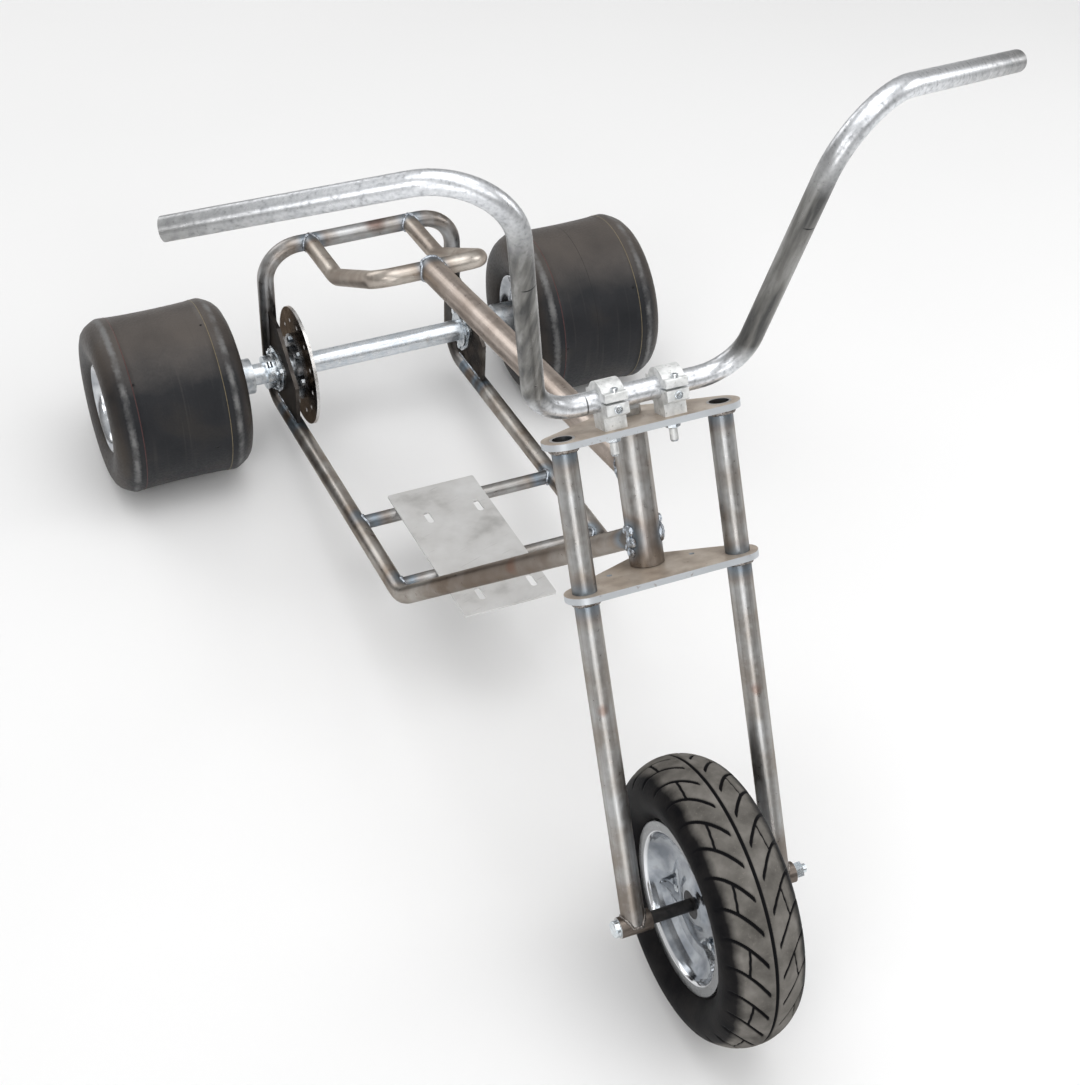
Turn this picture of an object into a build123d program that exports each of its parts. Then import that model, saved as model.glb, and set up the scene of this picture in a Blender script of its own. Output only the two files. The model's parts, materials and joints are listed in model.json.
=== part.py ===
from build123d import *
import os
from math import cos, radians, sin, tan

os.makedirs("parts", exist_ok=True)

# Rolling chassis of a small motor trike: a bent-tube frame on a live rear axle with two kart
# slicks, and a raked fork with one scooter wheel. Forward is -Y, the rider's left is +X and the
# floor is Z = 0, with the origin under the middle of the whole trike. Millimetres and degrees.

# Stance
wheelbase = 1233.0
rear_tyre_radius = 140.0
front_tyre_radius = 186.0
rake = 28.2
fork_offset = 42.6

# Tube sizes
frame_tube = 26.9
frame_wall = 2.6
backbone_tube = 38.1
cross_tube = 21.3
head_tube_diameter = 42.4
head_tube_wall = 3.6
fork_tube = 30.0
fork_wall = 3.0
bar_tube = 26.9
bar_wall = 2.6

# Side tubes and rear hoop
rail_half_width = 160.0
rail_tilt = 8.6
rail_below_axle = 72.5
corner_ahead_of_axle = 570.0
corner_bend = 55.0
rail_joint_ahead = 12.0
upright_behind_axle = 57.0
hoop_height = 328.0
hoop_lean = 11.0
hoop_foot_bend = 48.0
hoop_top_bend = 58.0
downtube_side = 10.0
downtube_up_head = 32.0

# Seat loop and backbone
seat_half_width = 84.0
seat_dip_ahead = 69.0
seat_dip_height = 353.0
seat_front_ahead = 256.0
seat_front_height = 477.0
seat_dip_bend = 70.0
seat_front_bend = 34.0
backbone_up_head = 113.0

# Engine bed
rear_cross_ahead = 375.0
front_cross_ahead = 545.0
plate_width = 140.0
plate_length = 330.0
plate_thickness = 3.0
plate_offset = -30.0
plate_rear_ahead = 340.0
plate_corner = 3.0
slot_spacing = 80.0
slot_length = 30.0
slot_width = 10.0
slot_offset = -22.0
rear_slot_ahead = 419.0
front_slot_ahead = 625.0

# Axle hangers and bearings
hanger_thickness = 6.0
hanger_front_ahead = 86.0
hanger_front_rise = 24.0
hanger_top_rise = 80.0
hanger_top_ahead = 4.0
bearing_outer = 58.0
bearing_width = 24.0
flange_thickness = 4.0
flange_bolt_radius = 33.0
flange_lobe = 10.0
flange_bolt = 8.0
flange_bolt_count = 3
first_flange_bolt = -90.0

# Rear axle
axle_diameter = 35.0
axle_chamfer = 1.5
rail_to_wheel = 193.0
axle_end_inset = 35.0
rear_tyre_width = 221.0
rear_bead_height = 8.0
rear_bulge_drop = 35.0
rear_shoulder_inset = 10.3
rear_shoulder_drop = 10.0
rear_tread_inset = 30.5
rear_tread_hollow = 2.7
rear_bead_radius = 63.5
rear_rim_width = 200.0
rear_flange_radius = 70.0
rear_rim_wall = 3.5
rear_disc_inset = 24.0
rear_disc_thickness = 8.0
rear_disc_overlap = 1.0
hub_radius = 29.0
hub_length = 62.0
hub_flange_radius = 46.0
hub_flange_thickness = 7.0
collar_radius = 27.0
collar_width = 13.0
collar_gap = 4.0
disc_radius = 97.5
disc_thickness = 5.0
disc_inboard = 31.0
disc_hole_ring = 75.0
disc_hub_radius = 34.0
disc_hub_flange = 54.0
disc_hub_length = 11.0
disc_hole = 8.0
disc_hole_count = 12

# Steering head
crown_thickness = 8.0
crown_end_radius = 25.0
crown_stem_radius = 33.0
fork_half_spacing = 100.0
head_bottom = 439.0
head_length = 170.0
bearing_lip = 3.0
bearing_cup_depth = 12.0
crown_gap = 1.0
crown_hole = 7.0
crown_hole_x = 54.5
crown_hole_back = 32.5
stem_diameter = 25.0
stem_nut_across = 32.0
stem_nut_height = 8.0

# Handlebar and clamps
bar_above_crown = 34.0
bar_base_half = 128.0
riser_splay = 67.0
riser_forward = 63.0
riser_height = 388.0
grip_out = 314.0
grip_back = 161.0
grip_drop = 109.0
bar_foot_bend = 62.0
bar_top_bend = 86.0
clamp_x = 38.0
clamp_width = 28.0
clamp_radius = 23.5
clamp_ear_depth = 57.0
clamp_ear_rise = 12.0
clamp_ear_drop = 15.0
clamp_foot_depth = 30.0
clamp_round = 2.0
clamp_split = 3.0
clamp_stud = 10.0
clamp_stud_below = 24.0
clamp_stud_inside = 1.0

# Front wheel
front_tyre_width = 108.0
front_bead_lip = 1.0
front_bulge_rise = 46.0
front_wall_inset = 5.0
front_wall_drop = 3.0
front_flank_inset = 4.0
front_flank_rise = 2.0
front_shoulder = 14.0
front_bead_radius = 100.0
front_rim_half = 41.0
front_flange_radius = 113.5
front_flange_thickness = 4.8
front_disc_half = 16.0
front_bowl_radius = 62.0
front_barrel_wall = 4.0
front_lip = 14.5
front_lip_slope = 1.6
front_bowl_hollow = 8.0
front_hub_radius = 26.0
front_hub_half = 22.0
front_axle_diameter = 12.0
boss_diameter = 27.0
boss_length = 42.0
spacer_diameter = 16.5
axle_head_diameter = 22.0
axle_head_height = 8.0
axle_head_round = 2.5
axle_nut_across = 19.0
axle_nut_height = 11.0
axle_thread_out = 6.0
pocket_count = 3
first_pocket = 90.0
pocket_radius = 24.0
pocket_ring = 64.0
pocket_depth = 6.0

# Clearances
slip = 0.05
side_play = 0.6
seat_gap = 0.1

# Places worked out from the sizes above
rear_axle_y = (wheelbase + front_tyre_radius - rear_tyre_radius) / 2
front_axle_y = rear_axle_y - wheelbase
rear_axle = Vector(0, rear_axle_y, rear_tyre_radius)
front_axle = Vector(0, front_axle_y, front_tyre_radius)
steering = Plane(
    origin=front_axle,
    x_dir=(1, 0, 0),
    z_dir=(0, sin(radians(rake)), cos(radians(rake))),
)
rear_wheel_x = rail_half_width + rail_to_wheel
axle_half_length = rear_wheel_x - axle_end_inset
head_top = head_bottom + head_length
lower_crown_top = head_bottom - bearing_lip - crown_gap
upper_crown_bottom = head_top + bearing_lip + crown_gap
upper_crown_top = upper_crown_bottom + crown_thickness
bar_level = upper_crown_top + bar_above_crown
SIDES = (("right", -1), ("left", 1))


def on_steering(x, back, up):
    """A place given across, behind and along the fork, from the front axle."""
    return steering.from_local_coords(Vector(x, back, up))


def on_rail(x, ahead, above=0.0):
    """A place on the sloping plane of the side rails, given ahead of the rear axle."""
    level = rear_tyre_radius - rail_below_axle + ahead * tan(radians(rail_tilt))
    lift = above / cos(radians(rail_tilt))
    return Vector(x, rear_axle_y - ahead, level + lift)


def bent_tube(points, bends, diameter, wall=0.0):
    """A tube along straight runs, with one centre-line radius for each corner; no wall is solid."""
    with BuildPart() as tube:
        with BuildLine():
            path = FilletPolyline(*points, radius=bends)
        with BuildSketch(Plane(origin=path @ 0, z_dir=path % 0)):
            Circle(diameter / 2)
            if wall:
                Circle(diameter / 2 - wall, mode=Mode.SUBTRACT)
        sweep()
    return tube.part


def straight_tube(start, end, diameter, wall=0.0):
    """A straight tube between two places; no wall makes a solid bar, also used to cope an end."""
    run = end - start
    with BuildPart() as tube:
        with BuildSketch(Plane(origin=start, z_dir=run)):
            Circle(diameter / 2)
            if wall:
                Circle(diameter / 2 - wall, mode=Mode.SUBTRACT)
        extrude(amount=run.length)
    return tube.part


def across(x, place):
    """A sketch plane square to the axles: its X is rearward, its Y is up."""
    return Plane(origin=(x, place.Y, place.Z), x_dir=(0, 1, 0), z_dir=(1, 0, 0))


def turned(place):
    """A sketch plane for wheel profiles: its X lies along the axle, its Y is the radius."""
    return Plane(origin=place, x_dir=(1, 0, 0), z_dir=(0, -1, 0))


# Head tube, with the steering axis behind the line of the fork legs
head_start = on_steering(0, fork_offset, head_bottom)
head_end = on_steering(0, fork_offset, head_top)
with BuildPart() as head_tube:
    add(straight_tube(head_start, head_end, head_tube_diameter, head_tube_wall))
head_tube.part.label = "head_tube"
export_step(head_tube.part, "parts/head_tube.step")
head_cope = straight_tube(head_start, head_end, head_tube_diameter)

# Bearing cups pressed into both ends of the head tube
with BuildPart() as head_bearings:
    cup_radius = head_tube_diameter / 2 - head_tube_wall
    for end_up, way in ((head_bottom, -1), (head_top, 1)):
        lip_plane = Plane(on_steering(0, fork_offset, end_up), steering.x_dir, steering.z_dir * way)
        with BuildSketch(lip_plane):
            Circle(head_tube_diameter / 2)
        extrude(amount=bearing_lip)
        with BuildSketch(lip_plane):
            Circle(cup_radius)
        extrude(amount=-bearing_cup_depth)
    stem_bore_start = on_steering(0, fork_offset, lower_crown_top)
    stem_bore_end = on_steering(0, fork_offset, upper_crown_bottom)
    add(straight_tube(stem_bore_start, stem_bore_end, stem_diameter + 2 * slip), mode=Mode.SUBTRACT)
head_bearings.part.label = "head_bearings"
export_step(head_bearings.part, "parts/head_bearings.step")

# Side tubes: each runs from the hanger along the rail, turns up at the front corner and is
# coped to the flank of the head tube
side_copes = {}
for side, hand in SIDES:
    side_points = (
        on_rail(hand * rail_half_width, rail_joint_ahead),
        on_rail(hand * rail_half_width, corner_ahead_of_axle),
        on_steering(hand * downtube_side, fork_offset, head_bottom + downtube_up_head),
    )
    side_copes[side] = bent_tube(side_points, [corner_bend], frame_tube)
    with BuildPart() as side_tube:
        add(bent_tube(side_points, [corner_bend], frame_tube, frame_wall))
        add(head_cope, mode=Mode.SUBTRACT)
    side_tube.part.label = f"side_tube_{side}"
    export_step(side_tube.part, f"parts/side_tube_{side}.step")

# Rear hoop: foot bends, uprights and top from one tube, butted to the rails
hoop_top_y = rear_axle_y + upright_behind_axle + hoop_lean
hoop_points = []
for hand in (-1, 1):
    hoop_side = [
        on_rail(hand * rail_half_width, rail_joint_ahead),
        on_rail(hand * rail_half_width, -upright_behind_axle),
        Vector(hand * rail_half_width, hoop_top_y, hoop_height),
    ]
    hoop_points += hoop_side if hand < 0 else reversed(hoop_side)
hoop_bends = [hoop_foot_bend, hoop_top_bend, hoop_top_bend, hoop_foot_bend]
with BuildPart() as rear_hoop:
    add(bent_tube(hoop_points, hoop_bends, frame_tube, frame_wall))
rear_hoop.part.label = "rear_hoop"
export_step(rear_hoop.part, "parts/rear_hoop.step")

# Seat loop: two legs coped to the top of the hoop, a dip, and a raised front corner
hoop_top_cope = straight_tube(
    Vector(-rail_half_width + hoop_top_bend, hoop_top_y, hoop_height),
    Vector(rail_half_width - hoop_top_bend, hoop_top_y, hoop_height),
    frame_tube,
)
seat_front_y = rear_axle_y - seat_front_ahead
seat_points = []
for hand in (-1, 1):
    seat_side = [
        Vector(hand * seat_half_width, hoop_top_y, hoop_height),
        Vector(hand * seat_half_width, rear_axle_y - seat_dip_ahead, seat_dip_height),
        Vector(hand * seat_half_width, seat_front_y, seat_front_height),
    ]
    seat_points += seat_side if hand < 0 else reversed(seat_side)
seat_bends = [seat_dip_bend, seat_front_bend, seat_front_bend, seat_dip_bend]
with BuildPart() as seat_loop:
    add(bent_tube(seat_points, seat_bends, frame_tube, frame_wall))
    add(hoop_top_cope, mode=Mode.SUBTRACT)
seat_loop.part.label = "seat_loop"
export_step(seat_loop.part, "parts/seat_loop.step")

# Backbone from the front of the seat loop to the head tube, coped at both ends
backbone_start = Vector(0, seat_front_y, seat_front_height)
backbone_end = on_steering(0, fork_offset, head_bottom + backbone_up_head)
seat_cross_cope = straight_tube(
    Vector(-seat_half_width + seat_front_bend, seat_front_y, seat_front_height),
    Vector(seat_half_width - seat_front_bend, seat_front_y, seat_front_height),
    frame_tube,
)
with BuildPart() as backbone:
    add(straight_tube(backbone_start, backbone_end, backbone_tube, frame_wall))
    add(seat_cross_cope, mode=Mode.SUBTRACT)
    add(head_cope, mode=Mode.SUBTRACT)
    behind_cross = backbone.solids().sort_by(SortBy.VOLUME)[:-1]
    for scrap in behind_cross:
        add(scrap, mode=Mode.SUBTRACT)
backbone.part.label = "backbone"
export_step(backbone.part, "parts/backbone.step")

# Cross tubes between the rails, coped to both
for place, ahead in (("rear", rear_cross_ahead), ("front", front_cross_ahead)):
    cross_start = on_rail(-rail_half_width, ahead)
    cross_end = on_rail(rail_half_width, ahead)
    with BuildPart() as cross_piece:
        add(straight_tube(cross_start, cross_end, cross_tube, frame_wall))
        for cope in side_copes.values():
            add(cope, mode=Mode.SUBTRACT)
    cross_piece.part.label = f"cross_tube_{place}"
    export_step(cross_piece.part, f"parts/cross_tube_{place}.step")

# Engine plate: sheet on top of the cross tubes, with four fore-and-aft slots
plate_plane = Plane(
    origin=on_rail(plate_offset, plate_rear_ahead, cross_tube / 2),
    x_dir=(1, 0, 0),
    z_dir=(0, sin(radians(rail_tilt)), cos(radians(rail_tilt))),
)
slope = cos(radians(rail_tilt))
slot_places = []
for ahead in (rear_slot_ahead, front_slot_ahead):
    for hand in (-1, 1):
        along_plate = (plate_rear_ahead - ahead) / slope
        slot_places.append((slot_offset - plate_offset + hand * slot_spacing / 2, along_plate))
with BuildPart() as engine_plate:
    with BuildSketch(plate_plane):
        with Locations((0, -plate_length / 2)):
            RectangleRounded(plate_width, plate_length, plate_corner)
        with Locations(*slot_places):
            SlotOverall(slot_length, slot_width, rotation=90, mode=Mode.SUBTRACT)
    extrude(amount=plate_thickness)
engine_plate.part.label = "engine_plate"
export_step(engine_plate.part, "parts/engine_plate.step")

# Axle hangers: plates in the corner between rail and upright, each carrying a flanged bearing
hoop_cope = bent_tube(hoop_points, hoop_bends, frame_tube)
rail_line = -rail_below_axle
for side, hand in SIDES:
    hanger_plane = across(hand * rail_half_width, rear_axle)
    with BuildPart() as axle_hanger:
        with BuildSketch(hanger_plane):
            Polygon(
                (upright_behind_axle, rail_line - upright_behind_axle * tan(radians(rail_tilt))),
                (upright_behind_axle + hoop_lean / 2, hanger_top_rise),
                (hanger_top_ahead, hanger_top_rise),
                (-hanger_front_ahead, hanger_front_rise),
                (-hanger_front_ahead, rail_line + hanger_front_ahead * tan(radians(rail_tilt))),
                align=None,
            )
            Circle(bearing_outer / 2 + slip, mode=Mode.SUBTRACT)
        extrude(amount=hanger_thickness / 2, both=True)
        add(side_copes[side], mode=Mode.SUBTRACT)
        add(hoop_cope, mode=Mode.SUBTRACT)
        for scrap in axle_hanger.solids().sort_by(SortBy.VOLUME)[:-1]:
            add(scrap, mode=Mode.SUBTRACT)
    axle_hanger.part.label = f"axle_hanger_{side}"
    export_step(axle_hanger.part, f"parts/axle_hanger_{side}.step")

    with BuildPart() as bearing:
        with BuildSketch(hanger_plane):
            Circle(bearing_outer / 2)
        extrude(amount=bearing_width / 2, both=True)
        for face in (-1, 1):
            flange_plane = across(
                hand * rail_half_width + face * (hanger_thickness / 2 + seat_gap), rear_axle
            )
            with BuildSketch(flange_plane):
                with PolarLocations(flange_bolt_radius, flange_bolt_count, first_flange_bolt):
                    Circle(flange_lobe)
                Circle(bearing_outer / 2 + flange_thickness)
                make_hull()
                with PolarLocations(flange_bolt_radius, flange_bolt_count, first_flange_bolt):
                    Circle(flange_bolt / 2, mode=Mode.SUBTRACT)
            extrude(amount=face * flange_thickness)
        with BuildSketch(hanger_plane):
            Circle(axle_diameter / 2 + slip)
        extrude(amount=bearing_width, both=True, mode=Mode.SUBTRACT)
    bearing.part.label = f"bearing_{side}"
    export_step(bearing.part, f"parts/bearing_{side}.step")

# Rear axle, live: it turns both rear wheels and the brake disc
with BuildPart() as rear_axle_bar:
    with BuildSketch(across(-axle_half_length, rear_axle)):
        Circle(axle_diameter / 2)
    extrude(amount=2 * axle_half_length)
    chamfer(rear_axle_bar.edges().filter_by(GeomType.CIRCLE), axle_chamfer)
rear_axle_bar.part.label = "rear_axle"
export_step(rear_axle_bar.part, "parts/rear_axle.step")

# Rear wheels: slick, rim and axle hub on each side
rear_rim_half = rear_rim_width / 2
rear_tyre_half = rear_tyre_width / 2
bead_x = rear_rim_half - rear_rim_wall - seat_gap
disc_x = -rear_rim_half + rear_disc_inset
axis_of_axle = Axis(rear_axle, (1, 0, 0))
for side, hand in SIDES:
    wheel_centre = Vector(hand * rear_wheel_x, rear_axle_y, rear_tyre_radius)
    with BuildPart() as rear_tyre:
        with BuildSketch(turned(wheel_centre)):
            with BuildLine():
                bead = rear_bead_radius + seat_gap
                side_wall = (rear_tyre_half, rear_tyre_radius - rear_bulge_drop)
                shoulder = (
                    rear_tyre_half - rear_shoulder_inset,
                    rear_tyre_radius - rear_shoulder_drop,
                )
                tread_edge = (rear_tyre_half - rear_tread_inset, rear_tyre_radius)
                Line((-bead_x, bead), (bead_x, bead))
                for mirror_x in (-1, 1):
                    Line((mirror_x * bead_x, bead), (mirror_x * bead_x, bead + rear_bead_height))
                    Line(
                        (mirror_x * bead_x, bead + rear_bead_height),
                        (mirror_x * side_wall[0], side_wall[1]),
                    )
                    ThreePointArc(
                        (mirror_x * side_wall[0], side_wall[1]),
                        (mirror_x * shoulder[0], shoulder[1]),
                        (mirror_x * tread_edge[0], tread_edge[1]),
                    )
                ThreePointArc(
                    (-tread_edge[0], tread_edge[1]),
                    (0, rear_tyre_radius - rear_tread_hollow),
                    tread_edge,
                )
            make_face()
        revolve(axis=axis_of_axle)
    rear_tyre.part.label = f"rear_tyre_{side}"
    export_step(rear_tyre.part, f"parts/rear_tyre_{side}.step")

    with BuildPart() as rear_rim:
        with BuildSketch(turned(wheel_centre)):
            barrel_in = rear_bead_radius - rear_rim_wall
            with Locations((0, (rear_bead_radius + barrel_in) / 2)):
                Rectangle(rear_rim_width, rear_rim_wall)
            for edge in (-1, 1):
                flange_middle = (barrel_in + rear_flange_radius) / 2
                with Locations((edge * (rear_rim_half - rear_rim_wall / 2), flange_middle)):
                    Rectangle(rear_rim_wall, rear_flange_radius - barrel_in)
            disc_bore_radius = axle_diameter / 2 + seat_gap
            disc_outer = rear_bead_radius - rear_disc_overlap
            with Locations((hand * disc_x, (disc_bore_radius + disc_outer) / 2)):
                Rectangle(rear_disc_thickness, disc_outer - disc_bore_radius)
        revolve(axis=axis_of_axle)
    rear_rim.part.label = f"rear_rim_{side}"
    export_step(rear_rim.part, f"parts/rear_rim_{side}.step")

    hub_face = hand * (rear_wheel_x + disc_x - rear_disc_thickness / 2)
    with BuildPart() as wheel_hub:
        with BuildSketch(across(hub_face, rear_axle)):
            Circle(hub_flange_radius)
        extrude(amount=-hand * hub_flange_thickness)
        with BuildSketch(across(hub_face, rear_axle)):
            Circle(hub_radius)
        extrude(amount=-hand * hub_length)
        with BuildSketch(across(hub_face, rear_axle)):
            Circle(axle_diameter / 2 + slip)
        extrude(amount=-hand * hub_length, mode=Mode.SUBTRACT)
    wheel_hub.part.label = f"wheel_hub_{side}"
    export_step(wheel_hub.part, f"parts/wheel_hub_{side}.step")

    collar_x = hand * (rail_half_width + bearing_width / 2 + collar_gap)
    with BuildPart() as lock_collar:
        with BuildSketch(across(collar_x, rear_axle)):
            Circle(collar_radius)
            Circle(axle_diameter / 2 + slip, mode=Mode.SUBTRACT)
        extrude(amount=hand * collar_width)
    lock_collar.part.label = f"lock_collar_{side}"
    export_step(lock_collar.part, f"parts/lock_collar_{side}.step")

# Brake disc and the hub that clamps it to the axle, inboard of the right hanger
disc_outer_face = -rail_half_width + disc_inboard - disc_thickness / 2
with BuildPart() as brake_disc:
    with BuildSketch(across(disc_outer_face, rear_axle)):
        Circle(disc_radius)
        Circle(axle_diameter / 2 + slip, mode=Mode.SUBTRACT)
        with PolarLocations(disc_hole_ring, disc_hole_count):
            Circle(disc_hole / 2, mode=Mode.SUBTRACT)
    extrude(amount=disc_thickness)
brake_disc.part.label = "brake_disc"
export_step(brake_disc.part, "parts/brake_disc.step")

with BuildPart() as disc_hub:
    with BuildSketch(across(disc_outer_face, rear_axle)):
        Circle(disc_hub_flange)
    extrude(amount=-disc_hub_length / 2)
    with BuildSketch(across(disc_outer_face, rear_axle)):
        Circle(disc_hub_radius)
    extrude(amount=-disc_hub_length)
    with BuildSketch(across(disc_outer_face, rear_axle)):
        Circle(axle_diameter / 2 + slip)
    extrude(amount=-disc_hub_length, mode=Mode.SUBTRACT)
disc_hub.part.label = "disc_hub"
export_step(disc_hub.part, "parts/disc_hub.step")

# Crown plates: straight front edge, round ends about the fork legs, and a bulge about the stem
for level, bottom in (
    ("lower", lower_crown_top - crown_thickness),
    ("upper", upper_crown_bottom),
):
    crown_plane = Plane(on_steering(0, 0, bottom), steering.x_dir, steering.z_dir)
    with BuildPart() as crown:
        with BuildSketch(crown_plane):
            with Locations((-fork_half_spacing, 0), (fork_half_spacing, 0)):
                Circle(crown_end_radius)
            with Locations((0, fork_offset)):
                Circle(crown_stem_radius)
            make_hull()
            with Locations((-fork_half_spacing, 0), (fork_half_spacing, 0)):
                Circle(fork_tube / 2 + slip, mode=Mode.SUBTRACT)
            with Locations((0, fork_offset)):
                Circle(stem_diameter / 2 + slip, mode=Mode.SUBTRACT)
            if level == "upper":
                with Locations((-clamp_x, 0), (clamp_x, 0)):
                    Circle(clamp_stud / 2 + slip, mode=Mode.SUBTRACT)
            else:
                with Locations((-crown_hole_x, crown_hole_back), (crown_hole_x, crown_hole_back)):
                    Circle(crown_hole / 2, mode=Mode.SUBTRACT)
        extrude(amount=crown_thickness)
    crown.part.label = f"crown_{level}"
    export_step(crown.part, f"parts/crown_{level}.step")

# Steering stem through both crowns and the head bearings, with its nut on top
with BuildPart() as steering_stem:
    stem_start = on_steering(0, fork_offset, lower_crown_top - crown_thickness)
    stem_end = on_steering(0, fork_offset, upper_crown_top + stem_nut_height)
    add(straight_tube(stem_start, stem_end, stem_diameter))
    nut_place = on_steering(0, fork_offset, upper_crown_top)
    with BuildSketch(Plane(nut_place, steering.x_dir, steering.z_dir)):
        RegularPolygon(stem_nut_across / 2, 6, major_radius=False)
    extrude(amount=stem_nut_height)
steering_stem.part.label = "steering_stem"
export_step(steering_stem.part, "parts/steering_stem.step")

# Fork legs, each standing on a short cross boss that carries the axle bolt
for side, hand in SIDES:
    leg_x = hand * fork_half_spacing
    boss_start = Vector(leg_x - boss_length / 2, front_axle_y, front_tyre_radius)
    boss_end = Vector(leg_x + boss_length / 2, front_axle_y, front_tyre_radius)
    with BuildPart() as fork_boss:
        boss_wall = (boss_diameter - front_axle_diameter) / 2 - slip
        add(straight_tube(boss_start, boss_end, boss_diameter, boss_wall))
    fork_boss.part.label = f"fork_boss_{side}"
    export_step(fork_boss.part, f"parts/fork_boss_{side}.step")

    with BuildPart() as fork_leg:
        leg_start = on_steering(leg_x, 0, 0)
        leg_end = on_steering(leg_x, 0, upper_crown_top)
        add(straight_tube(leg_start, leg_end, fork_tube, fork_wall))
        add(straight_tube(boss_start, boss_end, boss_diameter), mode=Mode.SUBTRACT)
        for scrap in fork_leg.solids().sort_by(SortBy.VOLUME)[:-1]:
            add(scrap, mode=Mode.SUBTRACT)
    fork_leg.part.label = f"fork_leg_{side}"
    export_step(fork_leg.part, f"parts/fork_leg_{side}.step")

# Handlebar: flat base, tall risers that splay and lean forward, and swept-back grips
bar_points = []
for hand in (-1, 1):
    bar_foot = on_steering(hand * bar_base_half, 0, bar_level)
    bar_shoulder = bar_foot + Vector(hand * riser_splay, -riser_forward, riser_height)
    bar_tip = bar_shoulder + Vector(hand * grip_out, grip_back, -grip_drop)
    bar_side = [bar_tip, bar_shoulder, bar_foot]
    bar_points += bar_side if hand < 0 else reversed(bar_side)
bar_bends = [bar_top_bend, bar_foot_bend, bar_foot_bend, bar_top_bend]
with BuildPart() as handlebar:
    add(bent_tube(bar_points, bar_bends, bar_tube, bar_wall))
handlebar.part.label = "handlebar"
export_step(handlebar.part, "parts/handlebar.step")

# Handlebar clamps: a footed base with a stud through the crown, and a bolted cap above a split
for side, hand in SIDES:
    clamp_plane = Plane(
        origin=on_steering(hand * clamp_x, 0, bar_level),
        x_dir=steering.y_dir,
        z_dir=(1, 0, 0),
    )
    with BuildPart() as bar_clamp:
        with BuildSketch(clamp_plane):
            Circle(clamp_radius)
            with Locations((0, -clamp_ear_drop / 2)):
                RectangleRounded(clamp_ear_depth, clamp_ear_drop, clamp_round)
            make_hull()
            with Locations((0, clamp_ear_rise / 2)):
                RectangleRounded(clamp_ear_depth, clamp_ear_rise, clamp_round)
            with Locations((0, -bar_above_crown / 2)):
                Rectangle(clamp_foot_depth, bar_above_crown)
            Rectangle(clamp_ear_depth, clamp_split, mode=Mode.SUBTRACT)
            Circle(bar_tube / 2 + slip, mode=Mode.SUBTRACT)
        extrude(amount=clamp_width / 2, both=True)
        stud_top = on_steering(hand * clamp_x, 0, upper_crown_top + clamp_stud_inside)
        stud_end = on_steering(hand * clamp_x, 0, upper_crown_bottom - clamp_stud_below)
        add(straight_tube(stud_top, stud_end, clamp_stud))
    bar_clamp.part.label = f"bar_clamp_{side}"
    export_step(bar_clamp.part, f"parts/bar_clamp_{side}.step")

# Front axle: a through bolt with a round head, and its nut
boss_outer = fork_half_spacing + boss_length / 2
boss_inner = fork_half_spacing - boss_length / 2
with BuildPart() as front_axle_bolt:
    with BuildSketch(across(-boss_outer, front_axle)):
        Circle(front_axle_diameter / 2)
    extrude(amount=2 * boss_outer + axle_nut_height + axle_thread_out)
    with BuildSketch(across(-boss_outer, front_axle)):
        Circle(axle_head_diameter / 2)
    extrude(amount=-axle_head_height)
    head_rim = front_axle_bolt.edges().filter_by(GeomType.CIRCLE).sort_by(Axis.X)[0]
    fillet(head_rim, axle_head_round)
front_axle_bolt.part.label = "front_axle"
export_step(front_axle_bolt.part, "parts/front_axle.step")

with BuildPart() as axle_nut:
    with BuildSketch(across(boss_outer, front_axle)):
        RegularPolygon(axle_nut_across / 2, 6, major_radius=False)
        Circle(front_axle_diameter / 2 + slip, mode=Mode.SUBTRACT)
    extrude(amount=axle_nut_height)
axle_nut.part.label = "axle_nut"
export_step(axle_nut.part, "parts/axle_nut.step")

# Spacers between the fork bosses and the wheel hub
for side, hand in SIDES:
    with BuildPart() as axle_spacer:
        with BuildSketch(across(hand * boss_inner, front_axle)):
            Circle(spacer_diameter / 2)
            Circle(front_axle_diameter / 2 + slip, mode=Mode.SUBTRACT)
        extrude(amount=-hand * (boss_inner - front_hub_half - side_play))
    axle_spacer.part.label = f"axle_spacer_{side}"
    export_step(axle_spacer.part, f"parts/axle_spacer_{side}.step")

# Front wheel: tyre, split rim and hub
axis_of_front = Axis(front_axle, (1, 0, 0))
front_tyre_half = front_tyre_width / 2
bead_half = front_rim_half - front_flange_thickness - seat_gap
with BuildPart() as front_tyre:
    with BuildSketch(turned(front_axle)):
        with BuildLine():
            bead = front_bead_radius + seat_gap
            bead_top = front_flange_radius + front_bead_lip
            wide = front_bead_radius + front_bulge_rise
            edge = front_tyre_radius - front_shoulder
            edge_half = front_tyre_half - front_shoulder
            wall_middle = (bead_top + wide) / 2 - front_wall_drop
            flank_middle = (wide + edge) / 2 + front_flank_rise
            Line((-bead_half, bead), (bead_half, bead))
            for mirror_x in (-1, 1):
                Line((mirror_x * bead_half, bead), (mirror_x * bead_half, bead_top))
                ThreePointArc(
                    (mirror_x * bead_half, bead_top),
                    (mirror_x * (front_tyre_half - front_wall_inset), wall_middle),
                    (mirror_x * front_tyre_half, wide),
                )
                ThreePointArc(
                    (mirror_x * front_tyre_half, wide),
                    (mirror_x * (front_tyre_half - front_flank_inset), flank_middle),
                    (mirror_x * edge_half, edge),
                )
            ThreePointArc(
                (-edge_half, edge),
                (0, front_tyre_radius),
                (edge_half, edge),
            )
        make_face()
    revolve(axis=axis_of_front)
front_tyre.part.label = "front_tyre"
export_step(front_tyre.part, "parts/front_tyre.step")

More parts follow.
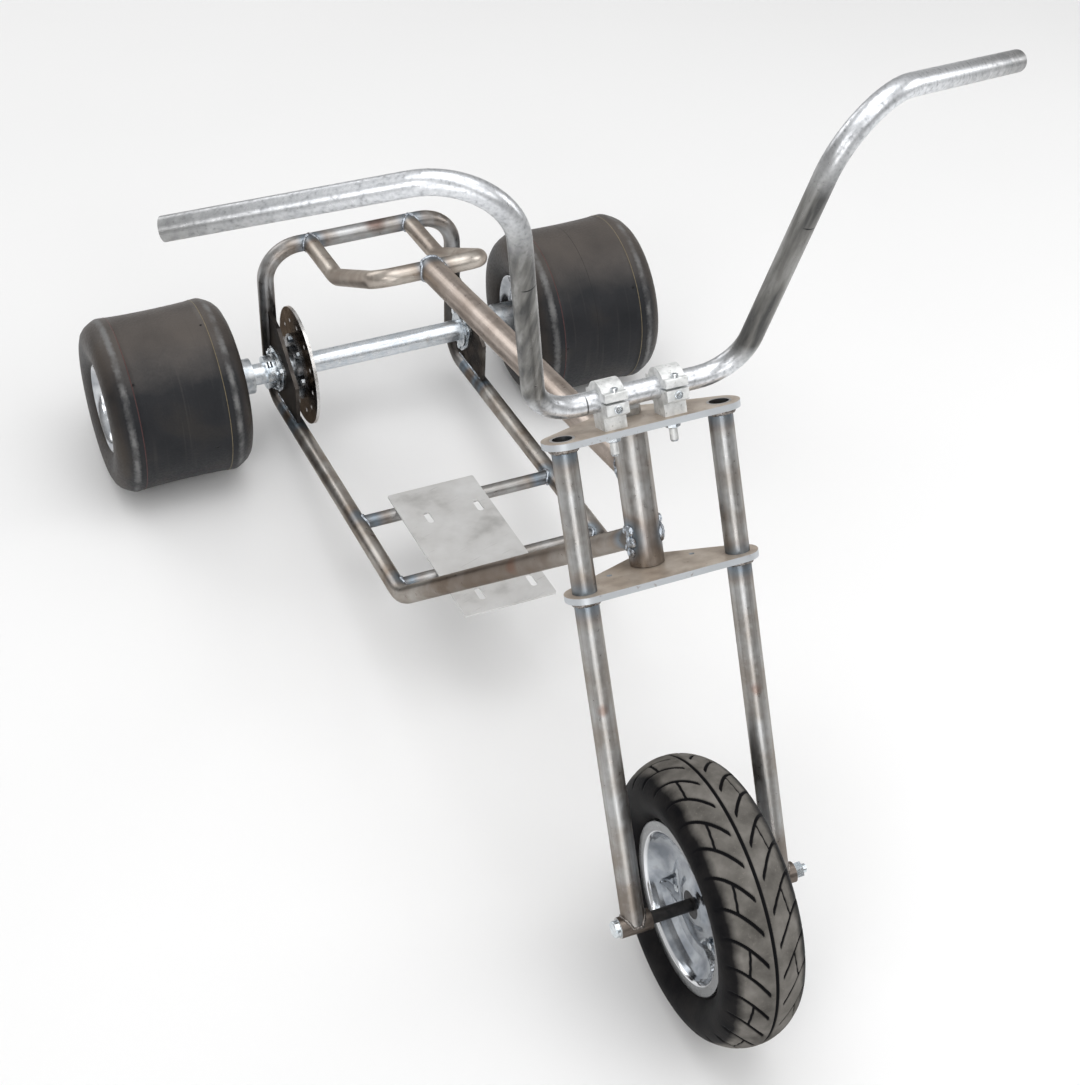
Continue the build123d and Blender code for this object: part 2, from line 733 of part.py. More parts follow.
for side, hand in SIDES:
    with BuildPart() as front_rim:
        with BuildSketch(turned(front_axle)):
            with BuildLine():
                flange_in = hand * (front_rim_half - front_flange_thickness)
                bowl_middle = (front_bead_radius + front_bowl_radius) / 2
                Polyline(
                    (hand * front_disc_half, front_bowl_radius),
                    (hand * front_disc_half, front_hub_radius + seat_gap),
                    (0, front_hub_radius + seat_gap),
                    (0, front_bead_radius),
                    (flange_in, front_bead_radius),
                    (flange_in, front_flange_radius),
                    (hand * front_rim_half, front_flange_radius),
                    (hand * (front_rim_half - front_lip_slope), front_flange_radius - front_lip),
                    (flange_in, front_bead_radius - front_barrel_wall),
                )
                ThreePointArc(
                    (flange_in, front_bead_radius - front_barrel_wall),
                    (hand * (front_disc_half + front_bowl_hollow), bowl_middle),
                    (hand * front_disc_half, front_bowl_radius),
                )
            make_face()
        revolve(axis=axis_of_front)
        with BuildSketch(across(hand * (front_disc_half - pocket_depth), front_axle)):
            with PolarLocations(pocket_ring, pocket_count, first_pocket):
                RegularPolygon(pocket_radius, 3)
        extrude(amount=hand * front_rim_half, mode=Mode.SUBTRACT)
    front_rim.part.label = f"front_rim_{side}"
    export_step(front_rim.part, f"parts/front_rim_{side}.step")

with BuildPart() as front_hub:
    with BuildSketch(across(-front_hub_half, front_axle)):
        Circle(front_hub_radius)
        Circle(front_axle_diameter / 2 + slip, mode=Mode.SUBTRACT)
    extrude(amount=2 * front_hub_half)
front_hub.part.label = "front_hub"
export_step(front_hub.part, "parts/front_hub.step")
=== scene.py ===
import json
from math import cos, pi, radians, sin, sqrt, tan, tau

import bmesh
import bpy
import numpy as np
from mathutils import Matrix, Vector


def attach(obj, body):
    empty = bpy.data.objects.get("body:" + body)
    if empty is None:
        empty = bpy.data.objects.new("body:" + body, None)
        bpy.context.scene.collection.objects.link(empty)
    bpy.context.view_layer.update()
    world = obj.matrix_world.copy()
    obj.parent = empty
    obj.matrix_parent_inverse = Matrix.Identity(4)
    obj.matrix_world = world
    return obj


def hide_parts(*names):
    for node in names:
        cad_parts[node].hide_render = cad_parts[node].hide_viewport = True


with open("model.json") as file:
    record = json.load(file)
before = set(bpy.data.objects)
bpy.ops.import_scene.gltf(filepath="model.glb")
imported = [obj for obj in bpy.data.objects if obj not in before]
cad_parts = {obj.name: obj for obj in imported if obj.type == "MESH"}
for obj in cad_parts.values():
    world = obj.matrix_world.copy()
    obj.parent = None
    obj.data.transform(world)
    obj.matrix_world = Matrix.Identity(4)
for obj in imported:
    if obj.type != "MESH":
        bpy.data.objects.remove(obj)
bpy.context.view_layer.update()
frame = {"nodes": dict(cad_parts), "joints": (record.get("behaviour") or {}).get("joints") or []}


# Frame tubes: round steel tube as it leaves the mill, bent cold and welded, with no paint on it.
# The thin scale is brown-grey, darker near the rear axle hangers, with painted shade low on the uprights of
# the rear hoop, and turns straw, plum and blue where the heat of a weld has run into it.
class Finish:
    """One procedural finish, laid out in metres on the piece itself."""

    def __init__(self, name, metal, tint=(1, 1, 1), gloss=0.5):
        self.material = bpy.data.materials.new(name)
        self.material.use_nodes = True
        self.tree = self.material.node_tree
        self.shader = self.tree.nodes["Principled BSDF"]
        self.feed(self.shader, {"Metallic": metal, "Specular Tint": (*tint, 1), "Specular IOR Level": gloss})
        surface = self.put("ShaderNodeTexCoord")
        self.spot = surface.outputs["Object"]
        self.facing = surface.outputs["Normal"]

    def feed(self, node, feeds):
        """Gives sockets a value, another node's output, or the level that a tuple spells out."""
        for socket, value in feeds.items():
            if isinstance(value, tuple) and isinstance(value[0], bpy.types.NodeSocket):
                value = self.level(*value)
            if isinstance(value, bpy.types.NodeSocket):
                self.tree.links.new(value, node.inputs[socket])
            else:
                node.inputs[socket].default_value = value

    def put(self, kind, feeds=None, **settings):
        """Adds a node with its settings and feeds."""
        made = self.tree.nodes.new(kind)
        for setting, value in settings.items():
            setattr(made, setting, value)
        self.feed(made, feeds or {})
        return made

    def sum(self, way, first, second=0.0):
        return self.put("ShaderNodeMath", {0: first, 1: second}, operation=way).outputs[0]

    def plus(self, value, other, share):
        """A value with a share of another one added."""
        return self.sum("ADD", value, self.sum("MULTIPLY", other, share))

    def vector(self, way, first, second=(0, 0, 0)):
        made = self.put("ShaderNodeVectorMath", {0: first, 1: second}, operation=way)
        return made.outputs["Value" if way in ("DOT_PRODUCT", "DISTANCE", "LENGTH") else "Vector"]

    def along(self, run):
        """How far the spot lies along a run."""
        return self.vector("DOT_PRODUCT", self.spot, run)

    def square_to(self, run):
        """How squarely the skin faces along a run, either way."""
        return self.sum("ABSOLUTE", self.vector("DOT_PRODUCT", self.facing, Vector(run).normalized()))

    def clouds(self, size, detail=3.0, spot=None):
        """Patchy noise with patches of about this size."""
        feeds = {"Vector": spot or self.spot, "Scale": 1 / size, "Detail": detail}
        return self.put("ShaderNodeTexNoise", feeds).outputs["Fac"]

    def drawn(self, run, stretch):
        """The spot squeezed along a run, so that clouds on it become streaks."""
        run = Vector(run).normalized()
        feeds = {0: run * (1 - 1 / stretch), "Scale": self.along(run)}
        squeeze = self.put("ShaderNodeVectorMath", feeds, operation="SCALE")
        return self.vector("SUBTRACT", self.spot, squeeze.outputs[0])

    def level(self, value, low, high, low_to=0.0, high_to=1.0):
        """A value spread from low..high to low_to..high_to, held at both ends."""
        feeds = {"Value": value, 1: low, 2: high, 3: low_to, 4: high_to}
        return self.put("ShaderNodeMapRange", feeds).outputs["Result"]

    def colours(self, value, *stops):
        """Colours read along a value, from (value, colour) stops."""
        made = self.put("ShaderNodeValToRGB", {"Fac": value})
        ends = made.color_ramp.elements
        for end, (place, colour) in ((ends[1], stops[-1]), (ends[0], stops[0])):
            end.position = place
            end.color = (*colour, 1)
        for place, colour in stops[1:-1]:
            ends.new(place).color = (*colour, 1)
        return made.outputs["Color"]

    def over(self, share, under, top):
        """One colour laid over another by a share from 0 to 1."""
        feeds = {0: share}
        for socket, colour in ((6, under), (7, top)):
            feeds[socket] = (*colour, 1) if isinstance(colour, tuple) else colour
        return self.put("ShaderNodeMix", feeds, data_type="RGBA").outputs[2]

    def away(self, places):
        """The distance to the nearest of some places."""
        nearest = None
        for place in places:
            one = self.vector("DISTANCE", self.spot, place)
            nearest = one if nearest is None else self.sum("MINIMUM", nearest, one)
        return nearest

    def spotted(self, colour, spots_laid, ragged):
        """Soft spots of a tone laid over a colour, from (place, radius, share, tone) rows; they carry stain,
        and painted shade where a row gives it.
        """
        for place, radius, share, tone in spots_laid:
            reach = self.plus(self.away([place]), ragged, 0.8 * radius)
            colour = self.over((reach, 0.75 * radius, 1.4 * radius, share, 0.0), colour, tone)
        return colour

    def show(self, colour, roughness, height=None, depth=0.0):
        """Joins the colour, the roughness and a fine relief to the shader."""
        self.feed(self.shader, {"Base Color": colour, "Roughness": roughness})
        if height:
            relief = self.put("ShaderNodeBump", {"Height": height, "Distance": depth})
            self.feed(self.shader, {"Normal": relief.outputs[0]})
        return self

    def on(self, *names):
        """Gives the finish to solids that keep their own shape."""
        for name in names:
            for slot in frame["nodes"][name].material_slots:
                slot.material = self.material


joints = {joint["name"]: joint for joint in frame["joints"]}
front_axle = Vector(joints["front_wheel_spin"]["pos_m"])
rear_axle = Vector(joints["rear_axle_spin"]["pos_m"])
fork_run = Vector(joints["steering_turn"]["axis"])
fork_back = Vector((1, 0, 0)).cross(fork_run) * -1
fork_offset = (Vector(joints["steering_turn"]["pos_m"]) - front_axle).dot(fork_back)
SIDES = (("right", -1), ("left", 1))


def on_fork(x, back, up):
    """A place across, behind and up the fork, from the front axle."""
    return front_axle + Vector((x, 0, 0)) + fork_back * back + fork_run * up


rail_half = 0.160
rail_rise = tan(radians(8.6))
rail_drop = 0.0725


def on_rail(x, ahead):
    """A place on a side rail's centre line, ahead of the rear axle."""
    return rear_axle + Vector((x, -ahead, ahead * rail_rise - rail_drop))


def bare_steel(name, welds, bright, brown, run=None, spots_laid=()):
    """Mill steel: patches of scale, draw marks and sawn ends along a run, heat tint round welds."""
    steel = Finish(name, 0.9, (0.62, 0.58, 0.54))
    patches = steel.clouds(0.05, 2.0)
    mottle = steel.clouds(0.007, 4.0)
    colour = steel.colours(patches, (0.36, brown), (0.64, bright))
    pale_mark = tuple(1.3 * c for c in bright)
    dull = tuple(0.6 * c for c in brown)
    colour = steel.over((mottle, 0.52, 0.75, 0.0, 0.30), colour, pale_mark)
    colour = steel.over((mottle, 0.25, 0.46, 0.22, 0.0), colour, dull)
    grain = mottle
    if run:
        grain = steel.clouds(0.0025, 2.0, steel.drawn(run, 50))
        colour = steel.over((grain, 0.34, 0.52, 0.28, 0.0), colour, dull)
    colour = steel.spotted(colour, spots_laid, patches)
    if welds:
        heat = steel.level(steel.plus(steel.away(welds), patches, 0.02), 0.020, 0.050)
        tint = steel.colours(
            heat, (0.0, (0.08, 0.077, 0.076)), (0.25, (0.15, 0.20, 0.25)), (0.45, (0.15, 0.165, 0.185)),
            (0.65, (0.16, 0.115, 0.09)), (0.85, (0.27, 0.22, 0.165))
        )
        colour = steel.over((heat, 0.25, 1.0, 0.75, 0.0), colour, tint)
    if run:
        colour = steel.over((steel.square_to(run), 0.90, 0.97), colour, (0.60, 0.61, 0.62))
    return steel.show(colour, (mottle, 0.3, 0.7, 0.27, 0.42), grain, 0.00009)


hoop_y = rear_axle.y + 0.068
hoop_top = 0.328
seat_half = 0.084
seat_dip = Vector((0, rear_axle.y - 0.069, 0.353))
seat_front = Vector((0, rear_axle.y - 0.256, 0.477))
head_low = 0.439
head_high = 0.609
head_middle = on_fork(0, fork_offset, (head_low + head_high) / 2)
side_tube_up = head_low + 0.032
side_tube_off = 0.010
rail_corner = 0.570
backbone_foot = on_fork(0, fork_offset, head_low + 0.113)
backbone_run = backbone_foot - seat_front
rail_run = on_rail(0, 1) - on_rail(0, 0)
cross_places = (0.375, 0.545)
tube_grey = (0.43, 0.41, 0.385)
tube_brown = (0.26, 0.222, 0.19)
dark_near_axle = (0.045, 0.040, 0.037)
scale_brown = (0.105, 0.075, 0.055)
rust = (0.17, 0.075, 0.045)
seat_welds = [Vector((hand * seat_half, hoop_y, hoop_top)) for hand in (-1, 1)]
rail_skin = 0.0134
cross_foot = rail_half - rail_skin
cross_welds = [on_rail(hand * cross_foot, ahead) for hand in (-1, 1) for ahead in cross_places]
head_skin = 0.021
head_feet = [on_fork(hand * head_skin, fork_offset, side_tube_up) for hand in (-1, 1)]
head_rear = backbone_foot + fork_back * head_skin
hanger_ends = (0.085, 0.02)
bare_steel(
    "head_tube_steel", head_feet + [head_rear], (0.43, 0.43, 0.425), (0.30, 0.265, 0.235), fork_run,
    [(on_fork(0, fork_offset, head_low), 0.075, 0.35, scale_brown)],
).on("head_tube", "head_bearings")
for side, hand in SIDES:
    corner = on_rail(hand * rail_half, rail_corner)
    downtube = on_fork(hand * side_tube_off, fork_offset, side_tube_up) - corner
    # Darker near the axle hangers at the rear of each rail, and a brown patch of scale along the downtube.
    spots_laid = [
        (on_rail(hand * rail_half, 0.02), 0.13, 0.85, dark_near_axle),
        (on_rail(hand * rail_half, -0.05), 0.10, 0.85, dark_near_axle),
        (corner + downtube * 0.52, 0.30, 0.65, scale_brown),
    ]
    if side == "right":
        spots_laid.append((corner + downtube * 0.54 + Vector((-0.010, -0.004, 0.008)), 0.016, 0.5, rust))
    side_welds = cross_welds + [on_rail(hand * rail_half, ahead) for ahead in hanger_ends] + head_feet
    side_steel = bare_steel(f"side_tube_{side}_steel", side_welds, tube_grey, tube_brown, None, spots_laid)
    side_steel.on(f"side_tube_{side}")
hoop_stains_and_shade = [(Vector((0.025, hoop_y, hoop_top + 0.013)), 0.022, 0.8, (0.13, 0.08, 0.065))]
# Painted shade: each upright of the hoop is darkened low down, near the rail and the axle hanger.
for hand in (-1, 1):
    hoop_stains_and_shade.append((Vector((hand * rail_half, hoop_y - 0.006, 0.13)), 0.16, 0.85, dark_near_axle))
bare_steel(
    "rear_hoop_steel", seat_welds, (0.42, 0.425, 0.43), (0.24, 0.215, 0.195), None, hoop_stains_and_shade
).on("rear_hoop")
loop_welds = seat_welds + [seat_front]
bare_steel("seat_loop_steel", loop_welds, (0.56, 0.52, 0.47), (0.38, 0.33, 0.29)).on("seat_loop")
bare_steel(
    "backbone_steel", [seat_front, backbone_foot], (0.54, 0.475, 0.43), (0.41, 0.35, 0.31), backbone_run
).on("backbone")
bare_steel("cross_tube_steel", cross_welds, (0.40, 0.40, 0.40), (0.25, 0.235, 0.22), (1, 0, 0)).on(
    "cross_tube_rear", "cross_tube_front"
)


# Frame welds: beads laid by hand round the coped tube ends and along the hanger plates, each a
# row of overlapping puddles, shiny and a little blue. The side tubes are filled at the head tube
# with heavier lumps.
def piece(name, parts, finish, body, crease=40.0):
    """One object from its turned, swept or gridded parts, riding on a body of the trike."""
    corners, faces = [], []
    for part_corners, part_faces in parts:
        start = len(corners)
        corners += [tuple(corner) for corner in part_corners]
        faces += [[start + corner for corner in face] for face in part_faces]
    mesh = bpy.data.meshes.new(name)
    mesh.from_pydata(corners, [], faces)
    build = bmesh.new()
    build.from_mesh(mesh)
    bmesh.ops.recalc_face_normals(build, faces=build.faces)
    build.to_mesh(mesh)
    build.free()
    mesh.polygons.foreach_set("use_smooth", [True] * len(mesh.polygons))
    mesh.set_sharp_from_angle(angle=radians(crease))
    mesh.materials.append(finish.material)
    made = bpy.data.objects.new(name, mesh)
    bpy.context.scene.collection.objects.link(made)
    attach(made, body)
    return made


def turned(outline, place, along, sides=40, spin=0.0):
    """A piece turned about an axis from (along, radius) pairs; six sides make a hexagon."""
    along = Vector(along).normalized()
    side = along.orthogonal().normalized()
    other = along.cross(side)
    corners, faces, rings = [], [], []
    for reach, radius in outline:
        count = sides if radius else 1
        rings.append([len(corners) + index for index in range(count)])
        for index in range(count):
            turn = spin + tau * index / sides
            corners.append(place + along * reach + (side * cos(turn) + other * sin(turn)) * radius)
    for ring, later in zip(rings, rings[1:]):
        for index in range(sides):
            after = index + 1
            face = [ring[index % len(ring)], ring[after % len(ring)]]
            face += [later[after % len(later)], later[index % len(later)]]
            faces.append(list(dict.fromkeys(face)))
    return corners, [face for face in faces if len(face) > 2]


def tube_joint(foot, run, radius, main, main_run, main_radius, count=72):
    """The line where a tube that runs off from its foot meets the skin of the main tube."""
    run, main_run = Vector(run).normalized(), Vector(main_run).normalized()
    side = run.orthogonal().normalized()
    other = run.cross(side)
    lean = run - main_run * run.dot(main_run)
    line = []
    for step in range(count):
        turn = tau * step / count
        start = foot + (side * cos(turn) + other * sin(turn)) * radius
        offset = start - main
        offset -= main_run * offset.dot(main_run)
        half = offset.dot(lean)
        room = half * half - lean.length_squared * (offset.length_squared - main_radius**2)
        line.append(start + run * ((sqrt(max(room, 0)) - half) / lean.length_squared))
    return line


def weld_bead(line, middle, thick, closed=True, puddle=0.0042, step=0.0012):
    """A rippled bead along a line, with its rings turned away from a middle point."""
    points = np.array([tuple(point) for point in line])
    if closed:
        points = np.vstack([points, points[:1]])
    lengths = np.concatenate([[0], np.cumsum(np.linalg.norm(np.diff(points, axis=0), axis=1))])
    count = max(8, int(lengths[-1] / step))
    spots = np.linspace(0, lengths[-1], count, endpoint=not closed)
    path = [Vector([np.interp(s, lengths, points[:, k]) for k in range(3)]) for s in spots]
    sides = 8
    corners, faces = [], []
    for index, place in enumerate(path):
        ahead = path[(index + 1) % count] if closed or index + 1 < count else place
        behind = path[index - 1] if closed or index else place
        run = (ahead - behind).normalized()
        out = place - middle
        out = (out - run * out.dot(run)).normalized()
        up = run.cross(out)
        ripple = 0.82 + 0.22 * abs(sin(pi * spots[index] / puddle))
        sway = 1 + 0.16 * sin(spots[index] * 410) * sin(spots[index] * 173 + 1)
        ends = 1 if closed else min(1, 0.25 + 8 * min(index, count - 1 - index) / count)
        for corner in range(sides):
            turn = tau * corner / sides
            swell = thick * ripple * sway * ends
            corners.append(place + (out * cos(turn) + up * sin(turn)) * swell)
    for index in range(count if closed else count - 1):
        low, high = index * sides, (index + 1) % count * sides
        for corner in range(sides):
            after = (corner + 1) % sides
            faces.append([low + corner, low + after, high + after, high + corner])
    if not closed:
        faces += [list(range(sides)), list(range((count - 1) * sides, count * sides))]
    return corners, faces


def weld_finish(name, dark, middle, bright):
    """Weld metal, patchy between its own colours, with a fine skin."""
    weld = Finish(name, 0.95)
    tone = weld.colours(weld.clouds(0.009, 3.0), (0.36, dark), (0.48, middle), (0.62, bright))
    skin = weld.clouds(0.002)
    return weld.show(tone, (skin, 0.3, 0.7, 0.20, 0.42), weld.clouds(0.0016, 4.0), 0.0003)


frame_radius = 0.01345
cross_radius = 0.01065
backbone_radius = 0.01905
head_radius = 0.0212
bead_thick = 0.0027
hanger_half = 0.003
rail_bead_ends = (-0.016, 0.084)
upright_behind = 0.0488
upright_bead_ends = (Vector((0, 0.0006, 0.108)), Vector((0, 0.0050, 0.216)))
weld_steel = weld_finish("weld_steel", (0.15, 0.14, 0.135), (0.31, 0.335, 0.37), (0.54, 0.59, 0.65))
lump_rows = (
    # side, degrees ahead of square across, up from the tube's middle, radius, rise, stretch up
    (-1, 14, -0.017, 0.0066, 0.0040, 1.0),
    (-1, 22, -0.004, 0.0074, 0.0048, 1.0),
    (-1, 18, 0.010, 0.0070, 0.0046, 1.1),
    (1, 30, 0.000, 0.0062, 0.0044, 1.7),
    (1, 6, 0.016, 0.0066, 0.0042, 1.0),
)
frame_beads = []
for hand in (-1, 1):
    leg_foot = Vector((hand * seat_half, hoop_y, hoop_top))
    leg_run = Vector((hand * seat_half, 0, 0)) + seat_dip - leg_foot
    line = tube_joint(leg_foot, leg_run, frame_radius, leg_foot, (1, 0, 0), frame_radius)
    frame_beads.append(weld_bead(line, leg_foot, bead_thick))
    for ahead in cross_places:
        foot = on_rail(hand * rail_half, ahead)
        line = tube_joint(foot, (-hand, 0, 0), cross_radius, foot, rail_run, frame_radius)
        frame_beads.append(weld_bead(line, foot, bead_thick))
    foot = on_fork(hand * side_tube_off, fork_offset, side_tube_up)
    run = on_rail(hand * rail_half, rail_corner) - foot
    line = tube_joint(foot, run, frame_radius, head_middle, fork_run, head_radius)
    frame_beads.append(weld_bead(line, foot, 1.2 * bead_thick, puddle=0.006))
    rail_up = Vector((0, rail_run.z, -rail_run.y)).normalized() * (frame_radius - 0.0004)
    for face in (-1, 1):
        off = Vector((face * hanger_half, 0, 0))
        line = [on_rail(hand * rail_half, ahead) + rail_up + off for ahead in rail_bead_ends]
        frame_beads.append(weld_bead(line, line[0] - rail_up, 0.8 * bead_thick, closed=False))
        upright = Vector((hand * rail_half, rear_axle.y + upright_behind, 0)) + off
        line = [upright + end for end in upright_bead_ends]
        frame_beads.append(weld_bead(line, line[0] + Vector((0, 0.01, 0)), 0.8 * bead_thick, closed=False))
dome = [(sin(radians(turn)), cos(radians(turn))) for turn in range(-15, 90, 15)] + [(1, 0)]
for hand, ahead, up, radius, rise, stretch in lump_rows:
    out = Vector((hand * cos(radians(ahead)), 0, 0)) - fork_back * sin(radians(ahead))
    place = on_fork(0, fork_offset, side_tube_up + up) + out * head_radius
    lump, faces = turned([(rise * high, radius * wide) for high, wide in dome], place, out, 20)
    lump = [spot + fork_run * (spot - place).dot(fork_run) * (stretch - 1) for spot in lump]
    frame_beads.append((lump, faces))
line = tube_joint(seat_front, backbone_run, backbone_radius, seat_front, (1, 0, 0), frame_radius)
frame_beads.append(weld_bead(line, seat_front, bead_thick))
line = tube_joint(backbone_foot, -backbone_run, backbone_radius, backbone_foot, fork_run, head_radius)
frame_beads.append(weld_bead(line, backbone_foot, bead_thick))
piece("frame_welds", frame_beads, weld_steel, "frame", crease=70)


# Engine plate: cold-rolled sheet with sawn edges and four milled slots, lying on the cross tubes.
# It is clean and pale, with grey smudges from handling round the slots.
sheet = Finish("plate_sheet", 0.45)
sheet_smudge = sheet.clouds(0.06, 5.0)
sheet_colour = sheet.colours(
    sheet_smudge, (0.30, (0.42, 0.415, 0.405)), (0.46, (0.62, 0.615, 0.605)), (0.70, (0.73, 0.73, 0.725))
)
sheet_scratch = sheet.clouds(0.003, 2.0, sheet.drawn((1, 0.35, 0), 40))
sheet_colour = sheet.over((sheet_scratch, 0.68, 0.74, 0.0, 0.35), sheet_colour, (0.27, 0.265, 0.26))
sheet.show(sheet_colour, (sheet_smudge, 0.3, 0.7, 0.5, 0.36), sheet_scratch, 0.0001).on("engine_plate")


# Axle hangers: steel plates cut to fit the corner between rail and upright and welded in. They
# are dark with weld smoke and hand oil.
hanger = Finish("hanger_steel", 0.8, (0.3, 0.28, 0.26))
hanger_patches = hanger.clouds(0.03, 5.0)
hanger_colour = hanger.colours(
    hanger_patches, (0.34, (0.034, 0.031, 0.030)), (0.52, (0.062, 0.055, 0.050)),
    (0.68, (0.12, 0.11, 0.10))
)
hanger.show(hanger_colour, (hanger_patches, 0.3, 0.7, 0.30, 0.5), hanger.clouds(0.002, 4.0), 0.0002)
hanger.on("axle_hanger_right", "axle_hanger_left")


# Axle bearings: pressed steel flanges, zinc plated, that hold a ball bearing to each hanger by
# three bolts with nuts.
washer_thick = 0.0016


def hex_bolt(place, along, across, height, washer=True):
    """A hexagon head or nut that stands on a face, on its washer."""
    corner = across / sqrt(3)
    low = washer_thick if washer else 0.0
    outline = [(low, 0), (low, corner), (low + 0.85 * height, corner), (low + height, 0.86 * corner)]
    parts = [turned(outline + [(low + height, 0)], place, along, 6, spin=0.3)]
    if washer:
        flat = [(0, 0), (0, 0.95 * across), (low, 0.95 * across), (low, 0)]
        parts.append(turned(flat, place, along, 28))
    return parts


def bolt_end(place, along, radius, length, pitch=0.00125):
    """A thread end that stands out of its nut, with its ridges."""
    outline = [(0, 0)]
    for index in range(int(length / pitch)):
        outline += [(index * pitch, radius), ((index + 0.5) * pitch, 0.86 * radius)]
    return turned(outline + [(length, 0.8 * radius), (length, 0)], place, along, 20)


def round_axle(axle, x, turn, ring):
    """A place on a ring round an axle, so far across and so many degrees round."""
    return axle + Vector((x, ring * cos(radians(turn)), ring * sin(radians(turn))))


def plated(name, colour, blue, rough):
    """Zinc plate: bright, a little blue, with a soft crystal bloom."""
    zinc = Finish(name, 1.0)
    bloom = zinc.clouds(0.012, 4.0)
    fine = zinc.clouds(0.0015, 3.0)
    tone = zinc.colours(bloom, (0.36, blue), (0.60, colour))
    stain = zinc.clouds(0.02, 5.0)
    tone = zinc.over((stain, 0.60, 0.75, 0.0, 0.35), tone, (0.38, 0.34, 0.30))
    return zinc.show(tone, (fine, 0.3, 0.7, rough - 0.06, rough + 0.10), fine, 0.00006)


bolt_zinc = plated("bolt_zinc", (0.74, 0.77, 0.79), (0.42, 0.47, 0.52), 0.24)
plated("bearing_zinc", (0.56, 0.59, 0.61), (0.24, 0.27, 0.30), 0.26).on("bearing_right", "bearing_left")


def fasteners(name, parts, body):
    """One piece from all the bolts, nuts and screws of a place."""
    piece(name, parts, bolt_zinc, body, crease=30)


flange_face = 0.0071
flange_bolt_ring = 0.033
flange_bolt_turns = (-90, 30, 150)
bearing_hex, bearing_head, bearing_nut = 0.012, 0.0042, 0.0050
bearing_thread, bearing_thread_out = 0.0036, 0.0035
for side, hand in SIDES:
    parts = []
    for turn in flange_bolt_turns:
        inner, outer, end = [
            round_axle(rear_axle, hand * (rail_half + out), turn, flange_bolt_ring)
            for out in (-flange_face, flange_face, flange_face + bearing_nut)
        ]
        parts += hex_bolt(inner, (-hand, 0, 0), bearing_hex, bearing_head, washer=False)
        parts += hex_bolt(outer, (hand, 0, 0), bearing_hex, bearing_nut, washer=False)
        parts.append(bolt_end(end, (hand, 0, 0), bearing_thread, bearing_thread_out))
    fasteners(f"bearing_bolts_{side}", parts, "frame")


# Rear axle and its lock collars: one straight bar through both bearings, zinc plated, with a
# split collar outside each bearing that two cap screws pull tight.
plated("axle_zinc", (0.74, 0.77, 0.80), (0.62, 0.67, 0.72), 0.30).on("rear_axle")
plated("collar_zinc", (0.70, 0.74, 0.77), (0.44, 0.50, 0.56), 0.22).on(
    "lock_collar_right", "lock_collar_left"
)


def cap_screw(place, along, radius, height):
    """A round head with a hexagon socket sunk in it, standing on a face."""
    outline = [(0, 0), (0, radius), (0.9 * height, radius), (height, 0.9 * radius)]
    parts = [turned(outline + [(height, 0.58 * radius)], place, along, 24)]
    socket = [(height, 0.58 * radius), (0.45 * height, 0.55 * radius), (0.45 * height, 0)]
    return parts + [turned(socket, place, along, 6)]


collar_middle = 0.1825
collar_screw_turns = (65, 245)
collar_screw_ring, collar_screw_back = 0.0245, 0.004
collar_screw_radius, collar_screw_height = 0.0050, 0.0105
for side, hand in SIDES:
    parts = []
    for turn in collar_screw_turns:
        out = Vector((0, -cos(radians(turn)), sin(radians(turn))))
        across_run = Vector((1, 0, 0)).cross(out)
        seat = rear_axle + Vector((hand * collar_middle, 0, 0)) + out * collar_screw_ring
        seat -= across_run * collar_screw_back
        parts += cap_screw(seat, across_run, collar_screw_radius, collar_screw_height)
    fasteners(f"collar_screws_{side}", parts, "rear_axle_set")


# Rear slicks: wide kart tyres worn blue-black, with a flat tread a little hollow across and a scuffed grey
# band at each shoulder. Over the top of each tyre a brown-grey tone is laid by height, partly dust and
# partly painted light from above. A cream and a red mould line run round them, and pin holes show the wear,
# each painted near-black as painted shade in the hole.
slick_outline = [
    (96.0, 63.8), (97.2, 70.4), (100.5, 72.6), (104.6, 79.0), (108.6, 91.0), (110.4, 104.0),
    (109.6, 114.5), (106.2, 123.2), (100.2, 130.0), (93.5, 134.4), (88.0, 137.2), (84.2, 139.0),
    (80.5, 139.9), (76.0, 139.8), (70.4, 139.2), (69.2, 139.1), (68.8, 139.6), (68.4, 139.1),
    (60.0, 138.5), (46.0, 137.9), (30.0, 137.5), (15.0, 137.3),
]
slick_hollow = 0.1372
slick_bead = [(-0.080, 0.0645), (0.080, 0.0645)]
slick_at = 0.353
line_at = 0.0688
scuff_at = 0.0835
painted_light_up = Vector((0, 0.11, 0.994))
pin_rows = (
    # degrees round the tyre, across from its middle
    (118, 0.062), (262, -0.058), (40, 0.070), (150, -0.066), (330, 0.02), (205, 0.045),
)
pin_ring = 0.1386
